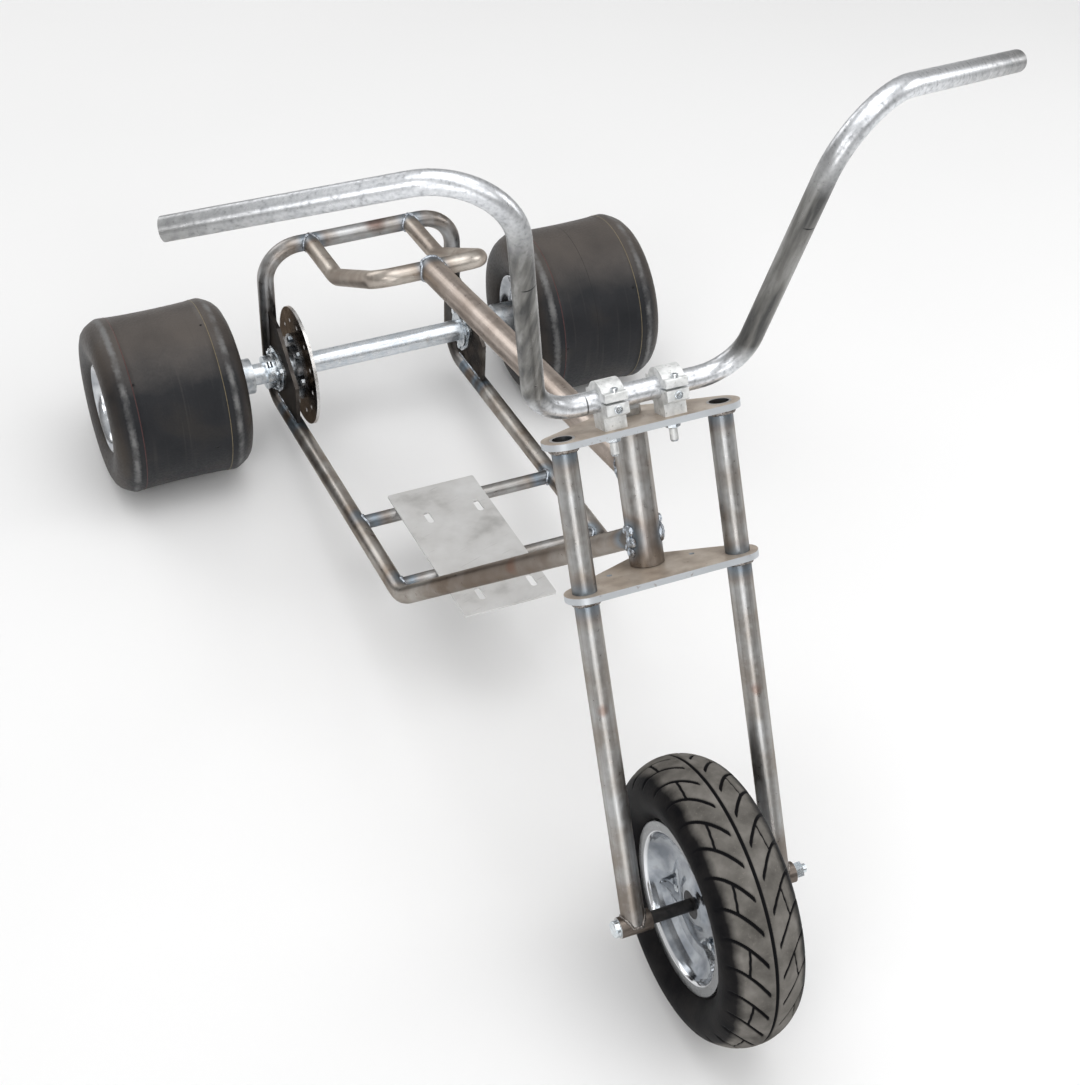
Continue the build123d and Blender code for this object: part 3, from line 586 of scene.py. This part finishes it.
for side, hand in SIDES:
    middle = rear_axle + Vector((hand * slick_at, 0, 0))
    half = [(x / 1000, r / 1000) for x, r in slick_outline]
    outline = half + [(0, slick_hollow)] + [(-x, r) for x, r in reversed(half)]
    shell = turned(outline + slick_bead + outline[:1], middle, (1, 0, 0), 160)
    rubber = Finish(f"slick_rubber_{side}", 0.0, gloss=0.26)
    x_off = rubber.sum("SUBTRACT", rubber.along((1, 0, 0)), middle.x)
    x_size = rubber.sum("ABSOLUTE", x_off)
    dust = rubber.clouds(0.07, 4.0)
    grit = rubber.clouds(0.004, 4.0)
    ringed = rubber.vector("MULTIPLY", rubber.spot, (1.0, 0.04, 0.04))
    ring_streak = rubber.clouds(0.006, 3.0, ringed)
    tone = rubber.colours(
        dust, (0.34, (0.0085, 0.0095, 0.012)), (0.52, (0.0130, 0.0135, 0.016)),
        (0.70, (0.021, 0.0195, 0.019))
    )
    # Painted light: a brown-grey tone over the top of the tyre by height, partly dust, standing in for the
    # top lit from above.
    rise = rubber.sum("SUBTRACT", rubber.along(painted_light_up), middle.dot(painted_light_up))
    rise = rubber.plus(rise, rubber.sum("SUBTRACT", dust, 0.5), 0.06)
    tone = rubber.over((rise, 0.075, 0.140, 0.0, 0.80), tone, (0.100, 0.086, 0.076))
    wall = rubber.sum("MULTIPLY", (x_size, 0.088, 0.100), (dust, 0.3, 0.7, 0.15, 0.6))
    tone = rubber.over(wall, tone, (0.055, 0.042, 0.031))
    tone = rubber.over((ring_streak, 0.58, 0.74, 0.0, 0.22), tone, (0.060, 0.054, 0.050))
    band = rubber.plus(rubber.sum("ABSOLUTE", rubber.sum("SUBTRACT", x_size, scuff_at)), grit, 0.006)
    patchy = rubber.level(rubber.clouds(0.025), 0.36, 0.62, 0.15, 0.9)
    scuff = rubber.sum("MULTIPLY", (band, 0.0045, 0.0095, 1.0, 0.0), patchy)
    tone = rubber.over(scuff, tone, (0.17, 0.17, 0.17))
    line_rows = [
        # across, half width, share, tone
        (line_at, 0.0008, 0.70, (0.27, 0.22, 0.13)),
        (-line_at, 0.0010, 0.55, (0.12, 0.042, 0.040)),
    ]
    if side == "left":
        line_rows.append((-0.008, 0.0006, 0.9, (0.004, 0.004, 0.004)))
    for at, wide, share, line_tone in line_rows:
        stripe = rubber.plus(rubber.sum("ABSOLUTE", rubber.sum("SUBTRACT", x_off, at)), grit, 0.0006)
        tone = rubber.over((stripe, 0.7 * wide, 1.3 * wide, share, 0.0), tone, line_tone)
    # Pin holes: a dent in the relief, and a near-black dot painted in each as the shade inside the hole.
    holes = [round_axle(middle, at, turn + 20 * hand, pin_ring) for turn, at in pin_rows]
    pin = rubber.level(rubber.away(holes), 0.0014, 0.0024, 1.0, 0.0)
    tone = rubber.over(pin, tone, (0.003, 0.003, 0.003))
    rough = rubber.plus((grit, 0.3, 0.7, 0.38, 0.54), scuff, 0.2)
    relief = rubber.plus(grit, pin, -2.0)
    rubber.show(tone, rough, relief, 0.0004)
    slick = piece(f"slick_{side}", [shell], rubber, "rear_axle_set", crease=60)
    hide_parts(f"rear_tyre_{side}")


# Rear rims: spun aluminium kart rims with rolled lips, a deep well outside and a stepped dish
# inside that three bolts hold to the hub on the axle.
def spun_metal(name, light, shade, rough, middle, lip=None):
    """Polished aluminium with fine rings from the lathe, satin outside a lip radius, with a painted
    highlight line just inside the lip.
    """
    metal = Finish(name, 1.0)
    offset = metal.vector("SUBTRACT", metal.spot, middle)
    radius = metal.vector("LENGTH", metal.vector("MULTIPLY", offset, (0.0, 1.0, 1.0)))
    rings = metal.put("ShaderNodeCombineXYZ", {0: radius, 1: radius}).outputs[0]
    lathe = metal.clouds(0.0009, 2.0, rings)
    bloom = metal.clouds(0.03, 4.0)
    tone = metal.colours(bloom, (0.35, shade), (0.60, light))
    grime = metal.clouds(0.008, 5.0)
    tone = metal.over((grime, 0.60, 0.74, 0.0, 0.30), tone, (0.26, 0.25, 0.235))
    blur = metal.sum("ADD", (bloom, 0.3, 0.7, rough, rough + 0.1), (lathe, 0.3, 0.7, 0.0, 0.08))
    if lip:
        satin = metal.level(radius, lip, lip + 0.0015)
        tone = metal.over(satin, tone, (0.27, 0.275, 0.28))
        # Painted highlight: a near-white line round the inner edge of the lip.
        pale_mark = metal.sum("ABSOLUTE", metal.sum("SUBTRACT", radius, lip - 0.0005))
        tone = metal.over((pale_mark, 0.0008, 0.0018, 0.9, 0.0), tone, (0.88, 0.89, 0.91))
        blur = metal.plus(blur, satin, 0.13)
    return metal.show(tone, blur, lathe, 0.00003)


rim_outline = [
    (97.5, 64.0), (97.8, 70.6), (99.6, 71.8), (101.6, 71.0), (101.9, 69.2), (100.4, 67.2), (97.0, 63.0),
    (92.0, 60.6), (70.0, 59.6), (62.0, 56.4), (20.0, 55.2), (-58.0, 54.0), (-68.0, 52.6), (-71.2, 49.0),
    (-71.8, 30.0), (-71.8, 17.7), (-80.0, 17.7), (-80.2, 44.0), (-82.6, 47.6), (-83.4, 51.2),
    (-86.0, 53.4), (-90.5, 54.2), (-92.2, 57.4), (-95.2, 60.2), (-98.6, 64.2), (-100.6, 67.2),
    (-101.9, 69.2), (-101.6, 71.0), (-99.6, 71.8), (-97.8, 70.6), (-97.5, 64.0), (-90.0, 63.3),
    (90.0, 63.3),
]
rim_metal = spun_metal("rear_rim_metal", (0.66, 0.68, 0.70), (0.40, 0.42, 0.45), 0.07, rear_axle)
hub_zinc = plated("wheel_hub_zinc", (0.56, 0.58, 0.60), (0.34, 0.37, 0.40), 0.32)
hub_zinc.on("wheel_hub_right", "wheel_hub_left")
hub_bolt_turns = (30, 150, 270)
hub_bolt_ring, hub_bolt_in = 0.0375, 0.0870
hub_hex, hub_head = 0.013, 0.0052
for side, hand in SIDES:
    outline = [(x / 1000, r / 1000) for x, r in rim_outline]
    middle = rear_axle + Vector((hand * slick_at, 0, 0))
    shell = turned(outline + outline[:1], middle, (hand, 0, 0), 120)
    rim = piece(f"kart_rim_{side}", [shell], rim_metal, "rear_axle_set", crease=32)
    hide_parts(f"rear_rim_{side}")
    parts = []
    for turn in hub_bolt_turns:
        seat = round_axle(middle, -hand * hub_bolt_in, turn, hub_bolt_ring)
        parts += hex_bolt(seat, (-hand, 0, 0), hub_hex, hub_head)
    fasteners(f"hub_bolts_{side}", parts, "rear_axle_set")


# Brake disc and its hub: a ground steel disc, dark with oil, drilled near its edge and held by
# six bolts to a short flanged hub that clamps the axle inside the right hanger.
disc = Finish("disc_steel", 0.95, (0.42, 0.37, 0.33))
disc_swirl = disc.clouds(0.02, 4.0)
disc_fine = disc.clouds(0.002, 4.0)
disc_tone = disc.colours(
    disc_swirl, (0.34, (0.030, 0.026, 0.024)), (0.55, (0.062, 0.053, 0.046)), (0.70, (0.13, 0.115, 0.10))
)
disc_side = disc.square_to((1, 0, 0))
disc_tone = disc.over((disc_side, 0.3, 0.7, 1.0, 0.0), disc_tone, (0.72, 0.71, 0.70))
disc.show(disc_tone, (disc_fine, 0.3, 0.7, 0.16, 0.34), disc_fine, 0.00006).on("brake_disc")
plated("disc_hub_zinc", (0.22, 0.22, 0.225), (0.09, 0.095, 0.10), 0.22).on("disc_hub")
disc_flange_x = -0.137
disc_bolt_ring = 0.0445
disc_hex, disc_head = 0.010, 0.0040
parts = []
for turn in range(0, 360, 60):
    seat = round_axle(rear_axle, disc_flange_x, turn, disc_bolt_ring)
    parts += hex_bolt(seat, (-1, 0, 0), disc_hex, disc_head, washer=False)
fasteners("disc_bolts", parts, "rear_axle_set")


# Crown plates: two thick plates cut by torch to a straight front and a bowed back, bored for the
# fork tubes and the stem. The faces keep a tan scale and the cut edges are ground grey.
crown = Finish("crown_plate", 0.55)
crown_patches = crown.clouds(0.035, 5.0)
crown_tone = crown.colours(
    crown_patches, (0.34, (0.36, 0.295, 0.24)), (0.54, (0.52, 0.445, 0.37)), (0.70, (0.62, 0.55, 0.475))
)
crown_face = crown.square_to(fork_run)
crown_tone = crown.over((crown_face, 0.4, 0.8, 1.0, 0.0), crown_tone, (0.52, 0.545, 0.57))
crown_rust = crown.clouds(0.006, 5.0)
crown_tone = crown.over((crown_rust, 0.64, 0.72, 0.0, 0.5), crown_tone, (0.17, 0.11, 0.07))
crown.show(crown_tone, (crown_patches, 0.3, 0.7, 0.5, 0.36), crown.clouds(0.002), 0.00015)
crown.on("crown_upper", "crown_lower")


# Steering stem: a turned steel bar, dull plated, that runs through both crowns and the head
# bearings and is held by a nut on top.
plated("stem_zinc", (0.36, 0.355, 0.34), (0.20, 0.20, 0.195), 0.34).on("steering_stem")


# Fork legs: straight steel tube through both crowns, welded under each plate, and coped at the
# foot to a short cross boss that the axle bolt goes through.
fork_half = 0.100
fork_radius = 0.015
boss_radius = 0.0135
crown_gap, crown_thick = 0.004, 0.008
crown_under = (head_low - crown_gap - crown_thick, head_high + crown_gap)
crown_bead, boss_bead = 0.0040, 0.0020
crown_bead_drop = 0.0030
leg_rust_up, leg_rust_step = 0.275, 0.014
leg_front = Vector((-0.32, -0.83, 0.45)) * fork_radius
fork_weld = weld_finish("fork_weld", (0.13, 0.115, 0.10), (0.20, 0.18, 0.165), (0.28, 0.26, 0.245))
for side, hand in SIDES:
    leg_welds = [on_fork(hand * fork_half, 0, up) for up in crown_under]
    foot = on_fork(hand * fork_half, 0, 0)
    rust_spot = on_fork(hand * fork_half, 0, leg_rust_up - leg_rust_step * hand) + leg_front
    leg_stains = [(foot, 0.10, 0.40, scale_brown), (rust_spot, 0.010, 0.5, rust)]
    leg_grey, leg_brown = (0.43, 0.435, 0.435), (0.30, 0.275, 0.25)
    leg_steel = bare_steel(f"fork_leg_{side}_steel", leg_welds, leg_grey, leg_brown, fork_run, leg_stains)
    leg_steel.on(f"fork_leg_{side}")
    boss_grey, boss_brown = (0.20, 0.17, 0.148), (0.115, 0.097, 0.083)
    bare_steel(f"fork_boss_{side}_steel", [], boss_grey, boss_brown, (1, 0, 0)).on(f"fork_boss_{side}")
    leg_beads = []
    for up in crown_under:
        middle = on_fork(hand * fork_half, 0, up - crown_bead_drop)
        ring = []
        for step in range(60):
            turn = tau * step / 60
            ring.append(middle + (Vector((1, 0, 0)) * cos(turn) + fork_back * sin(turn)) * fork_radius)
        leg_beads.append(weld_bead(ring, middle, crown_bead))
    piece(f"fork_welds_{side}", leg_beads, fork_weld, "steering", crease=70)
    line = tube_joint(foot, fork_run, fork_radius, foot, (1, 0, 0), boss_radius)
    boss_beads = [weld_bead(line, foot, boss_bead)]
    piece(f"boss_welds_{side}", boss_beads, fork_weld, "steering", crease=70)


# Handlebar: one tube bent to tall risers and swept grips, brighter than the frame, with its open ends sawn
# square. The grips and the foot of each riser carry a painted highlight, a near-white bluish tone for the
# bright sky they reflect. Short pen strokes mark where the bends were set out.
bar_radius = 0.01345
bar_over_crown = 0.034
bar_level = head_high + crown_gap + crown_thick + bar_over_crown
bar_foot = on_fork(0.128, 0, bar_level)
bar_riser = Vector((0.067, -0.063, 0.388))
bar = Finish("bar_steel", 0.92)
bar_patches = bar.clouds(0.013, 3.0, bar.drawn(bar_riser, 7))
bar_mottle = bar.clouds(0.005, 4.0)
bar_rise = bar.along((0, 0, 1))
on_grip = bar.level(bar_rise, bar_foot.z + 0.26, bar_foot.z + 0.35)
on_base = bar.level(bar_rise, bar_foot.z + 0.010, bar_foot.z + 0.045, 1.0, 0.0)
bar_tone = bar.colours(
    bar_patches, (0.34, (0.085, 0.085, 0.084)), (0.50, (0.180, 0.177, 0.168)),
    (0.66, (0.31, 0.308, 0.298))
)
# Painted highlight: a near-white bluish tone over the grips and the foot of each riser, for the sky
# reflected there.
bar_painted_highlight = bar.sum("MAXIMUM", on_grip, on_base)
painted_highlight_tone = bar.colours(bar_mottle, (0.34, (0.60, 0.62, 0.65)), (0.62, (0.83, 0.85, 0.88)))
bar_tone = bar.over(bar.sum("MULTIPLY", bar_painted_highlight, 0.9), bar_tone, painted_highlight_tone)
bar_tone = bar.over((bar_mottle, 0.24, 0.40, 0.45, 0.0), bar_tone, (0.13, 0.13, 0.13))
base_stroke_x, riser_stroke_share = -0.068, 0.57
strokes = [(on_fork(base_stroke_x, 0, bar_level), Vector((1, 0, 0)), Vector((0, -1, 0.6)))]
for hand, sideways in ((-1, 0.3), (1, 0.35)):
    flip = Matrix.Diagonal((hand, 1, 1))
    place = flip @ (bar_foot + bar_riser * riser_stroke_share)
    strokes.append((place, flip @ bar_riser, Vector((sideways, -1, 0.2))))
for place, run, out in strokes:
    run = run.normalized()
    out = (out - run * out.dot(run)).normalized()
    thin = bar.sum("ABSOLUTE", bar.sum("SUBTRACT", bar.along(run), place.dot(run)))
    near = bar.level(bar.away([place + out * bar_radius]), 0.008, 0.013, 1.0, 0.0)
    line = bar.sum("MULTIPLY", (thin, 0.0006, 0.0013, 0.85, 0.0), near)
    bar_tone = bar.over(line, bar_tone, (0.012, 0.012, 0.014))
bar.show(bar_tone, (bar_mottle, 0.3, 0.7, 0.40, 0.27), bar_mottle, 0.00008).on("handlebar")


# Handlebar clamps: cast aluminium split blocks, each held to the upper crown by a plated stud and
# closed on the bar by a cap screw in each ear, with a round screw head in its front face.
cast = Finish("clamp_cast", 0.35)
cast_clouds = cast.clouds(0.012, 4.0)
cast_grain = cast.clouds(0.0012, 3.0)
cast_tone = cast.colours(cast_clouds, (0.34, (0.52, 0.53, 0.525)), (0.62, (0.78, 0.79, 0.785)))
cast_dirt = cast.clouds(0.004, 5.0)
cast_tone = cast.over((cast_dirt, 0.62, 0.72, 0.0, 0.5), cast_tone, (0.22, 0.215, 0.20))
cast.show(cast_tone, (cast_grain, 0.3, 0.7, 0.34, 0.55), cast_grain, 0.0002)
cast.on("bar_clamp_right", "bar_clamp_left")
clamp_x = 0.038
ear_rise, ear_screw_back = 0.012, 0.0236
ear_screw_radius, ear_screw_height = 0.0046, 0.0045
clamp_front, front_screw_drop = -0.0285, 0.0080
front_screw_radius, front_screw_height = 0.0050, 0.0022
stud_hex, stud_nut = 0.016, 0.0080
stud_radius, stud_out = 0.0050, 0.0165
for side, hand in SIDES:
    parts = []
    for back in (-ear_screw_back, ear_screw_back):
        ear_seat = on_fork(hand * clamp_x, back, bar_level + ear_rise)
        parts += cap_screw(ear_seat, fork_run, ear_screw_radius, ear_screw_height)
    front_seat = on_fork(hand * clamp_x, clamp_front, bar_level - front_screw_drop)
    parts += cap_screw(front_seat, -fork_back, front_screw_radius, front_screw_height)
    stud = on_fork(hand * clamp_x, 0, head_high + crown_gap)
    parts += hex_bolt(stud, -fork_run, stud_hex, stud_nut)
    nut_end = stud - fork_run * (washer_thick + stud_nut)
    parts.append(bolt_end(nut_end, -fork_run, stud_radius, stud_out))
    fasteners(f"clamp_bolts_{side}", parts, "steering")


# Front axle: a plated through bolt with a round head on the right and a nut on the left, and a
# black spacer tube on each side of the black hub.
plated("front_axle_zinc", (0.80, 0.84, 0.86), (0.54, 0.60, 0.65), 0.20).on("front_axle", "axle_nut")
black = Finish("black_steel", 0.4)
black_patches = black.clouds(0.01, 4.0)
black_tone = black.colours(black_patches, (0.35, (0.008, 0.008, 0.009)), (0.70, (0.032, 0.029, 0.028)))
black.show(black_tone, (black_patches, 0.3, 0.7, 0.36, 0.55), black.clouds(0.002), 0.0001)
black.on("axle_spacer_right", "axle_spacer_left", "front_hub")


# Front rim: two polished cast halves bolted together, each a bowl behind a flat satin lip, with
# three triangular pockets for the bolts that join the halves.
def grid_faces(rows, columns):
    """Faces of a grid that closes both along its rows and round its columns."""
    index = np.arange(rows * columns).reshape(rows, columns)
    after = np.roll(index, -1, axis=1)
    below, below_after = np.roll(index, -1, axis=0), np.roll(after, -1, axis=0)
    return np.stack([index, after, below_after, below], axis=-1).reshape(-1, 4).tolist()


def smooth_step(value, low, high):
    """A share from 0 to 1 that eases in and out between two values."""
    share = np.clip((value - low) / (high - low), 0, 1)
    return share * share * (3 - 2 * share)


def round_grid(depth, radius, turn, middle):
    """Corners of a round grid about a wheel's axle, row by row, from millimetres."""
    return np.stack([
        middle.x + depth / 1000,
        middle.y + radius / 1000 * np.cos(turn),
        middle.z + radius / 1000 * np.sin(turn),
    ], axis=-1).reshape(-1, 3)


bowl = [
    # radius, depth out from the wheel's middle
    (18.6, 22.40), (25.0, 22.40), (28.0, 21.6), (31.0, 19.0), (36.0, 17.0), (62.0, 16.0), (75.0, 18.4),
    (86.0, 23.4), (93.0, 29.5), (97.0, 35.6), (98.2, 38.6), (99.2, 39.5), (101.0, 39.6), (111.0, 40.8),
    (112.6, 40.2), (113.3, 39.0),
]
bowl_at, bowl_depth = zip(*bowl)
face_radius = np.unique(np.concatenate([bowl_at, np.arange(38.0, 96.5, 2.0)]))
rim_back = np.array([
    # depth, radius
    (36.3, 113.3), (36.3, 100.2), (0.2, 100.0), (0.2, 26.2), (22.15, 26.2), (22.15, 18.6),
])
pocket_turns = (90, 210, 330)
pocket_ring = 61.0
pocket_inner, pocket_outer = 13.0, 14.0
pocket_sink = 6.0
ridge_rise, ridge_off, ridge_wide = 1.5, 1.4, 1.5
rim_bolt_ring, rim_bolt_seat = 0.055, 0.0098
rim_hex, rim_head = 0.010, 0.0062
rim_columns = 216
rim_turn = np.linspace(0, tau, rim_columns, endpoint=False)
front_rim_metal = spun_metal(
    "front_rim_metal", (0.42, 0.445, 0.475), (0.20, 0.22, 0.25), 0.06, front_axle, lip=0.0990
)
for side, hand in SIDES:
    radius, turn = np.meshgrid(face_radius, rim_turn, indexing="ij")
    depth = np.interp(radius, bowl_at, bowl_depth)
    for pocket in pocket_turns:
        swing = (turn - radians(pocket) + pi) % tau - pi
        out = radius * np.cos(swing) - pocket_ring
        wide = np.abs(radius * np.sin(swing))
        reach = np.maximum(-out - pocket_inner, 0.5 * out + 0.866 * wide - pocket_outer)
        sink = pocket_sink * smooth_step(-reach, -1.0, 2.2) * smooth_step(-out, -30, -20)
        ridge = ridge_rise * np.exp(-(((reach - ridge_off) / ridge_wide) ** 2)) * (radius < 92)
        depth = np.where(np.abs(swing) < pi / 3, depth - sink + ridge, depth)
    depth = np.vstack([depth, np.repeat(rim_back[:, :1], rim_columns, axis=1)])
    radius = np.vstack([radius, np.repeat(rim_back[:, 1:], rim_columns, axis=1)])
    turn = np.repeat(rim_turn[None], len(depth), axis=0)
    grid = (round_grid(hand * depth, radius, turn, front_axle), grid_faces(*depth.shape))
    rim = piece(
        f"front_rim_face_{side}", [grid], front_rim_metal, "front_wheel", crease=50
    )
    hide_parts(f"front_rim_{side}")
    parts = []
    for pocket in pocket_turns:
        seat = round_axle(front_axle, hand * rim_bolt_seat, pocket, rim_bolt_ring)
        parts += hex_bolt(seat, (hand, 0, 0), rim_hex, rim_head)
    fasteners(f"rim_bolts_{side}", parts, "front_wheel")


# Front tyre: a scooter road tyre with a groove round its middle, curved feather grooves to each
# shoulder and short links between them. The tread is dusty and the walls are smooth and black.
def arc_points(first, middle, last, count):
    """Evenly spaced points on the arc through three points, without the last one."""
    (ax, ay), (bx, by), (cx, cy) = first, middle, last
    twice = 2 * (ax * (by - cy) + bx * (cy - ay) + cx * (ay - by))
    a_size, b_size, c_size = ax**2 + ay**2, bx**2 + by**2, cx**2 + cy**2
    ux = (a_size * (by - cy) + b_size * (cy - ay) + c_size * (ay - by)) / twice
    uy = (a_size * (cx - bx) + b_size * (ax - cx) + c_size * (bx - ax)) / twice
    radius = np.hypot(ax - ux, ay - uy)
    start = np.arctan2(ay - uy, ax - ux)
    sweep = (np.arctan2(cy - uy, cx - ux) - start + pi) % tau - pi
    swing = start + sweep * np.arange(count) / count
    return np.stack([ux + radius * np.cos(swing), uy + radius * np.sin(swing)], axis=1)


tyre_radius = 186.0
bead, widest, shoulder = (36.1, 114.5), (54.0, 146.0), (40.0, 172.0)
far_shoulder = (-shoulder[0], shoulder[1])
tread_rows = 62
wall = arc_points(bead, (49.0, 127.25), widest, 9)
flank = arc_points(widest, (50.0, 161.0), shoulder, 20)
tread = arc_points(shoulder, (0.0, tyre_radius), far_shoulder, tread_rows)
toe, heel = (30.0, 100.4), (36.1, 100.4)
half = np.vstack([[toe, heel], wall, flank])
section = np.vstack([half, tread, [far_shoulder], (half * (-1, 1))[::-1]])
lengths = np.concatenate([[0], np.cumsum(np.linalg.norm(np.diff(section, axis=0), axis=1))])
on_tread = slice(len(half), len(half) + tread_rows)
across = lengths - np.interp(0, -section[on_tread, 0], lengths[on_tread])
tyre_columns = 720
feathers = 28
pitch = tau * tyre_radius / feathers
off, turn = np.meshgrid(across, np.linspace(0, tau, tyre_columns, endpoint=False), indexing="ij")
size = np.abs(off)
feather_start, feather_reach, feather_sweep, feather_bend = 8, 52, 46, 1.8
share = np.clip((size - feather_start) / feather_reach, 0, 1)
sweep = feather_sweep * (1 - (1 - share) ** feather_bend)
slope = feather_sweep * feather_bend / feather_reach * (1 - share) ** (feather_bend - 1)
place = turn * tyre_radius + sweep - np.where(off > 0, 0.0, pitch / 2)
feather = np.abs((place + pitch / 2) % pitch - pitch / 2) / np.sqrt(1 + slope**2)
feather_ends = smooth_step(size, 7.5, 10.0) * (1 - smooth_step(size, 56, 66))
feather_cut = (1 - smooth_step(feather, 1.2, 2.6)) * feather_ends
middle_cut = 1 - smooth_step(size, 1.6, 2.8)
link_lane = np.abs(size - 29 - 0.10 * (place % pitch))
link_cut = (1 - smooth_step(link_lane, 0.8, 1.9)) * (np.floor(place / pitch) % 2 < 0.5)
cut = np.maximum.reduce([feather_cut, middle_cut, 0.8 * link_cut])
groove_depth = 3.4
drop = groove_depth * cut * (1 - 0.8 * smooth_step(size, 46, 66))
run = np.gradient(section, axis=0)
normal = np.stack([-run[:, 1], run[:, 0]], axis=1)
normal /= np.linalg.norm(normal, axis=1)[:, None]
normal *= np.where(normal[:, 1:] + normal[:, :1] * np.sign(section[:, :1]) < 0, -1, 1)
depth = section[:, :1] - normal[:, :1] * drop
radius = section[:, 1:] - normal[:, 1:] * drop
road = Finish("road_rubber", 0.0, gloss=0.03)
cut_at = road.put("ShaderNodeAttribute", attribute_name="cut").outputs["Fac"]
worn_at = road.put("ShaderNodeAttribute", attribute_name="worn").outputs["Fac"]
dust = road.clouds(0.03, 5.0)
grit = road.clouds(0.003, 4.0)
road_tone = road.colours(
    dust, (0.32, (0.085, 0.080, 0.073)), (0.52, (0.138, 0.130, 0.119)), (0.70, (0.195, 0.184, 0.170))
)
road_tone = road.over((grit, 0.60, 0.75, 0.0, 0.35), road_tone, (0.24, 0.22, 0.195))
wall_tone = road.colours(dust, (0.34, (0.006, 0.006, 0.007)), (0.70, (0.016, 0.015, 0.015)))
worn_share = road.plus(worn_at, road.sum("SUBTRACT", dust, 0.5), 0.6)
road_tone = road.over((worn_share, 0.15, 0.75), wall_tone, road_tone)
road_tone = road.over((cut_at, 0.15, 0.55), road_tone, (0.008, 0.008, 0.009))
road.show(road_tone, (worn_share, 0.1, 0.7, 0.46, 0.70), grit, 0.0003)
grid = (round_grid(depth, radius, turn, front_axle), grid_faces(*depth.shape))
road_tyre = piece("road_tyre", [grid], road, "front_wheel", crease=80)
for label, values in (("cut", cut), ("worn", 1 - smooth_step(size, 30, 56))):
    attribute = road_tyre.data.attributes.new(label, "FLOAT", "POINT")
    attribute.data.foreach_set("value", values.astype(np.float32).ravel())
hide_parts("front_tyre")


# Stage: a plain pale floor under soft studio light, with large panels in front and behind that
# draw a bright stripe along the tubes, and a dim surround that keeps their edges dark.
floor_mesh = bpy.data.meshes.new("floor")
floor_half = 60
floor_corners = [(x * floor_half, y * floor_half, 0) for x, y in ((-1, -1), (1, -1), (1, 1), (-1, 1))]
floor_mesh.from_pydata(floor_corners, [], [(0, 1, 2, 3)])
floor = bpy.data.objects.new("floor", floor_mesh)
bpy.context.scene.collection.objects.link(floor)
paint = Finish("floor_paint", 0.0)
floor_clouds = paint.clouds(1.5)
floor_tone = paint.colours(floor_clouds, (0.3, (0.84, 0.84, 0.84)), (0.7, (0.87, 0.87, 0.87)))
paint.show(floor_tone, (paint.clouds(0.5), 0.0, 1.0, 0.85, 0.95))
floor_mesh.materials.append(paint.material)

world = bpy.data.worlds.new("studio")
world.use_nodes = True
sky = world.node_tree
sky_way = sky.nodes.new("ShaderNodeTexCoord")
sky_rise = sky.nodes.new("ShaderNodeSeparateXYZ")
sky_tone = sky.nodes.new("ShaderNodeValToRGB")
sky.links.new(sky_way.outputs["Generated"], sky_rise.inputs[0])
sky.links.new(sky_rise.outputs["Z"], sky_tone.inputs["Fac"])
sky.links.new(sky_tone.outputs["Color"], sky.nodes["Background"].inputs["Color"])
sky_stops = sky_tone.color_ramp.elements
sky_stops[0].position, sky_stops[0].color = 0.02, (0.24, 0.23, 0.22, 1)
sky_stops[1].position, sky_stops[1].color = 0.75, (0.66, 0.66, 0.66, 1)
sky_stops.new(0.42).color = (0.48, 0.48, 0.48, 1)
bpy.context.scene.world = world
light_rows = (
    # name, place, size, power, spread in degrees
    ("top_light", (0.2, -0.2, 3.4), 2.6, 45, 180),
    ("front_left_light", (-2.6, -2.4, 2.6), 1.6, 24, 180),
    ("right_light", (3.0, -0.4, 1.6), 1.4, 18, 180),
    ("front_panel", (-1.3, -4.2, 1.15), 2.2, 16, 120),
    ("rear_panel", (-1.3, 3.4, 2.0), 2.2, 12, 120),
    ("front_box", (1.2, -2.6, 2.75), 1.8, 15, 180),
)
light_aim = Vector((0, 0, 0.35))
for name, place, size, power, spread in light_rows:
    light = bpy.data.lights.new(name, "AREA")
    light.size = size
    light.energy = power
    light.spread = radians(spread)
    lamp = bpy.data.objects.new(name, light)
    lamp.location = place
    lamp.rotation_euler = (light_aim - Vector(place)).to_track_quat("-Z", "Y").to_euler()
    lamp.visible_camera = False
    bpy.context.scene.collection.objects.link(lamp)
bpy.context.scene.view_settings.view_transform = "Standard"


# Camera: held where the photograph was taken from, above the trike and ahead of its right side.
# Its three directions are those of the picture's right, its top and the way back to the eye.
camera_place = (-0.8837, -1.9228, 2.2792)
to_right, to_top, to_eye = (0.9206, -0.3881, 0.0430), (0.2389, 0.6471, 0.7240), (-0.3089, -0.6563, 0.6884)
camera = bpy.data.cameras.new("camera")
camera.lens = 68.96
camera_body = bpy.data.objects.new("camera", camera)
camera_turn = Matrix((to_right, to_top, to_eye)).transposed().to_4x4()
camera_body.matrix_world = Matrix.Translation(camera_place) @ camera_turn
bpy.context.scene.collection.objects.link(camera_body)
bpy.context.scene.camera = camera_body
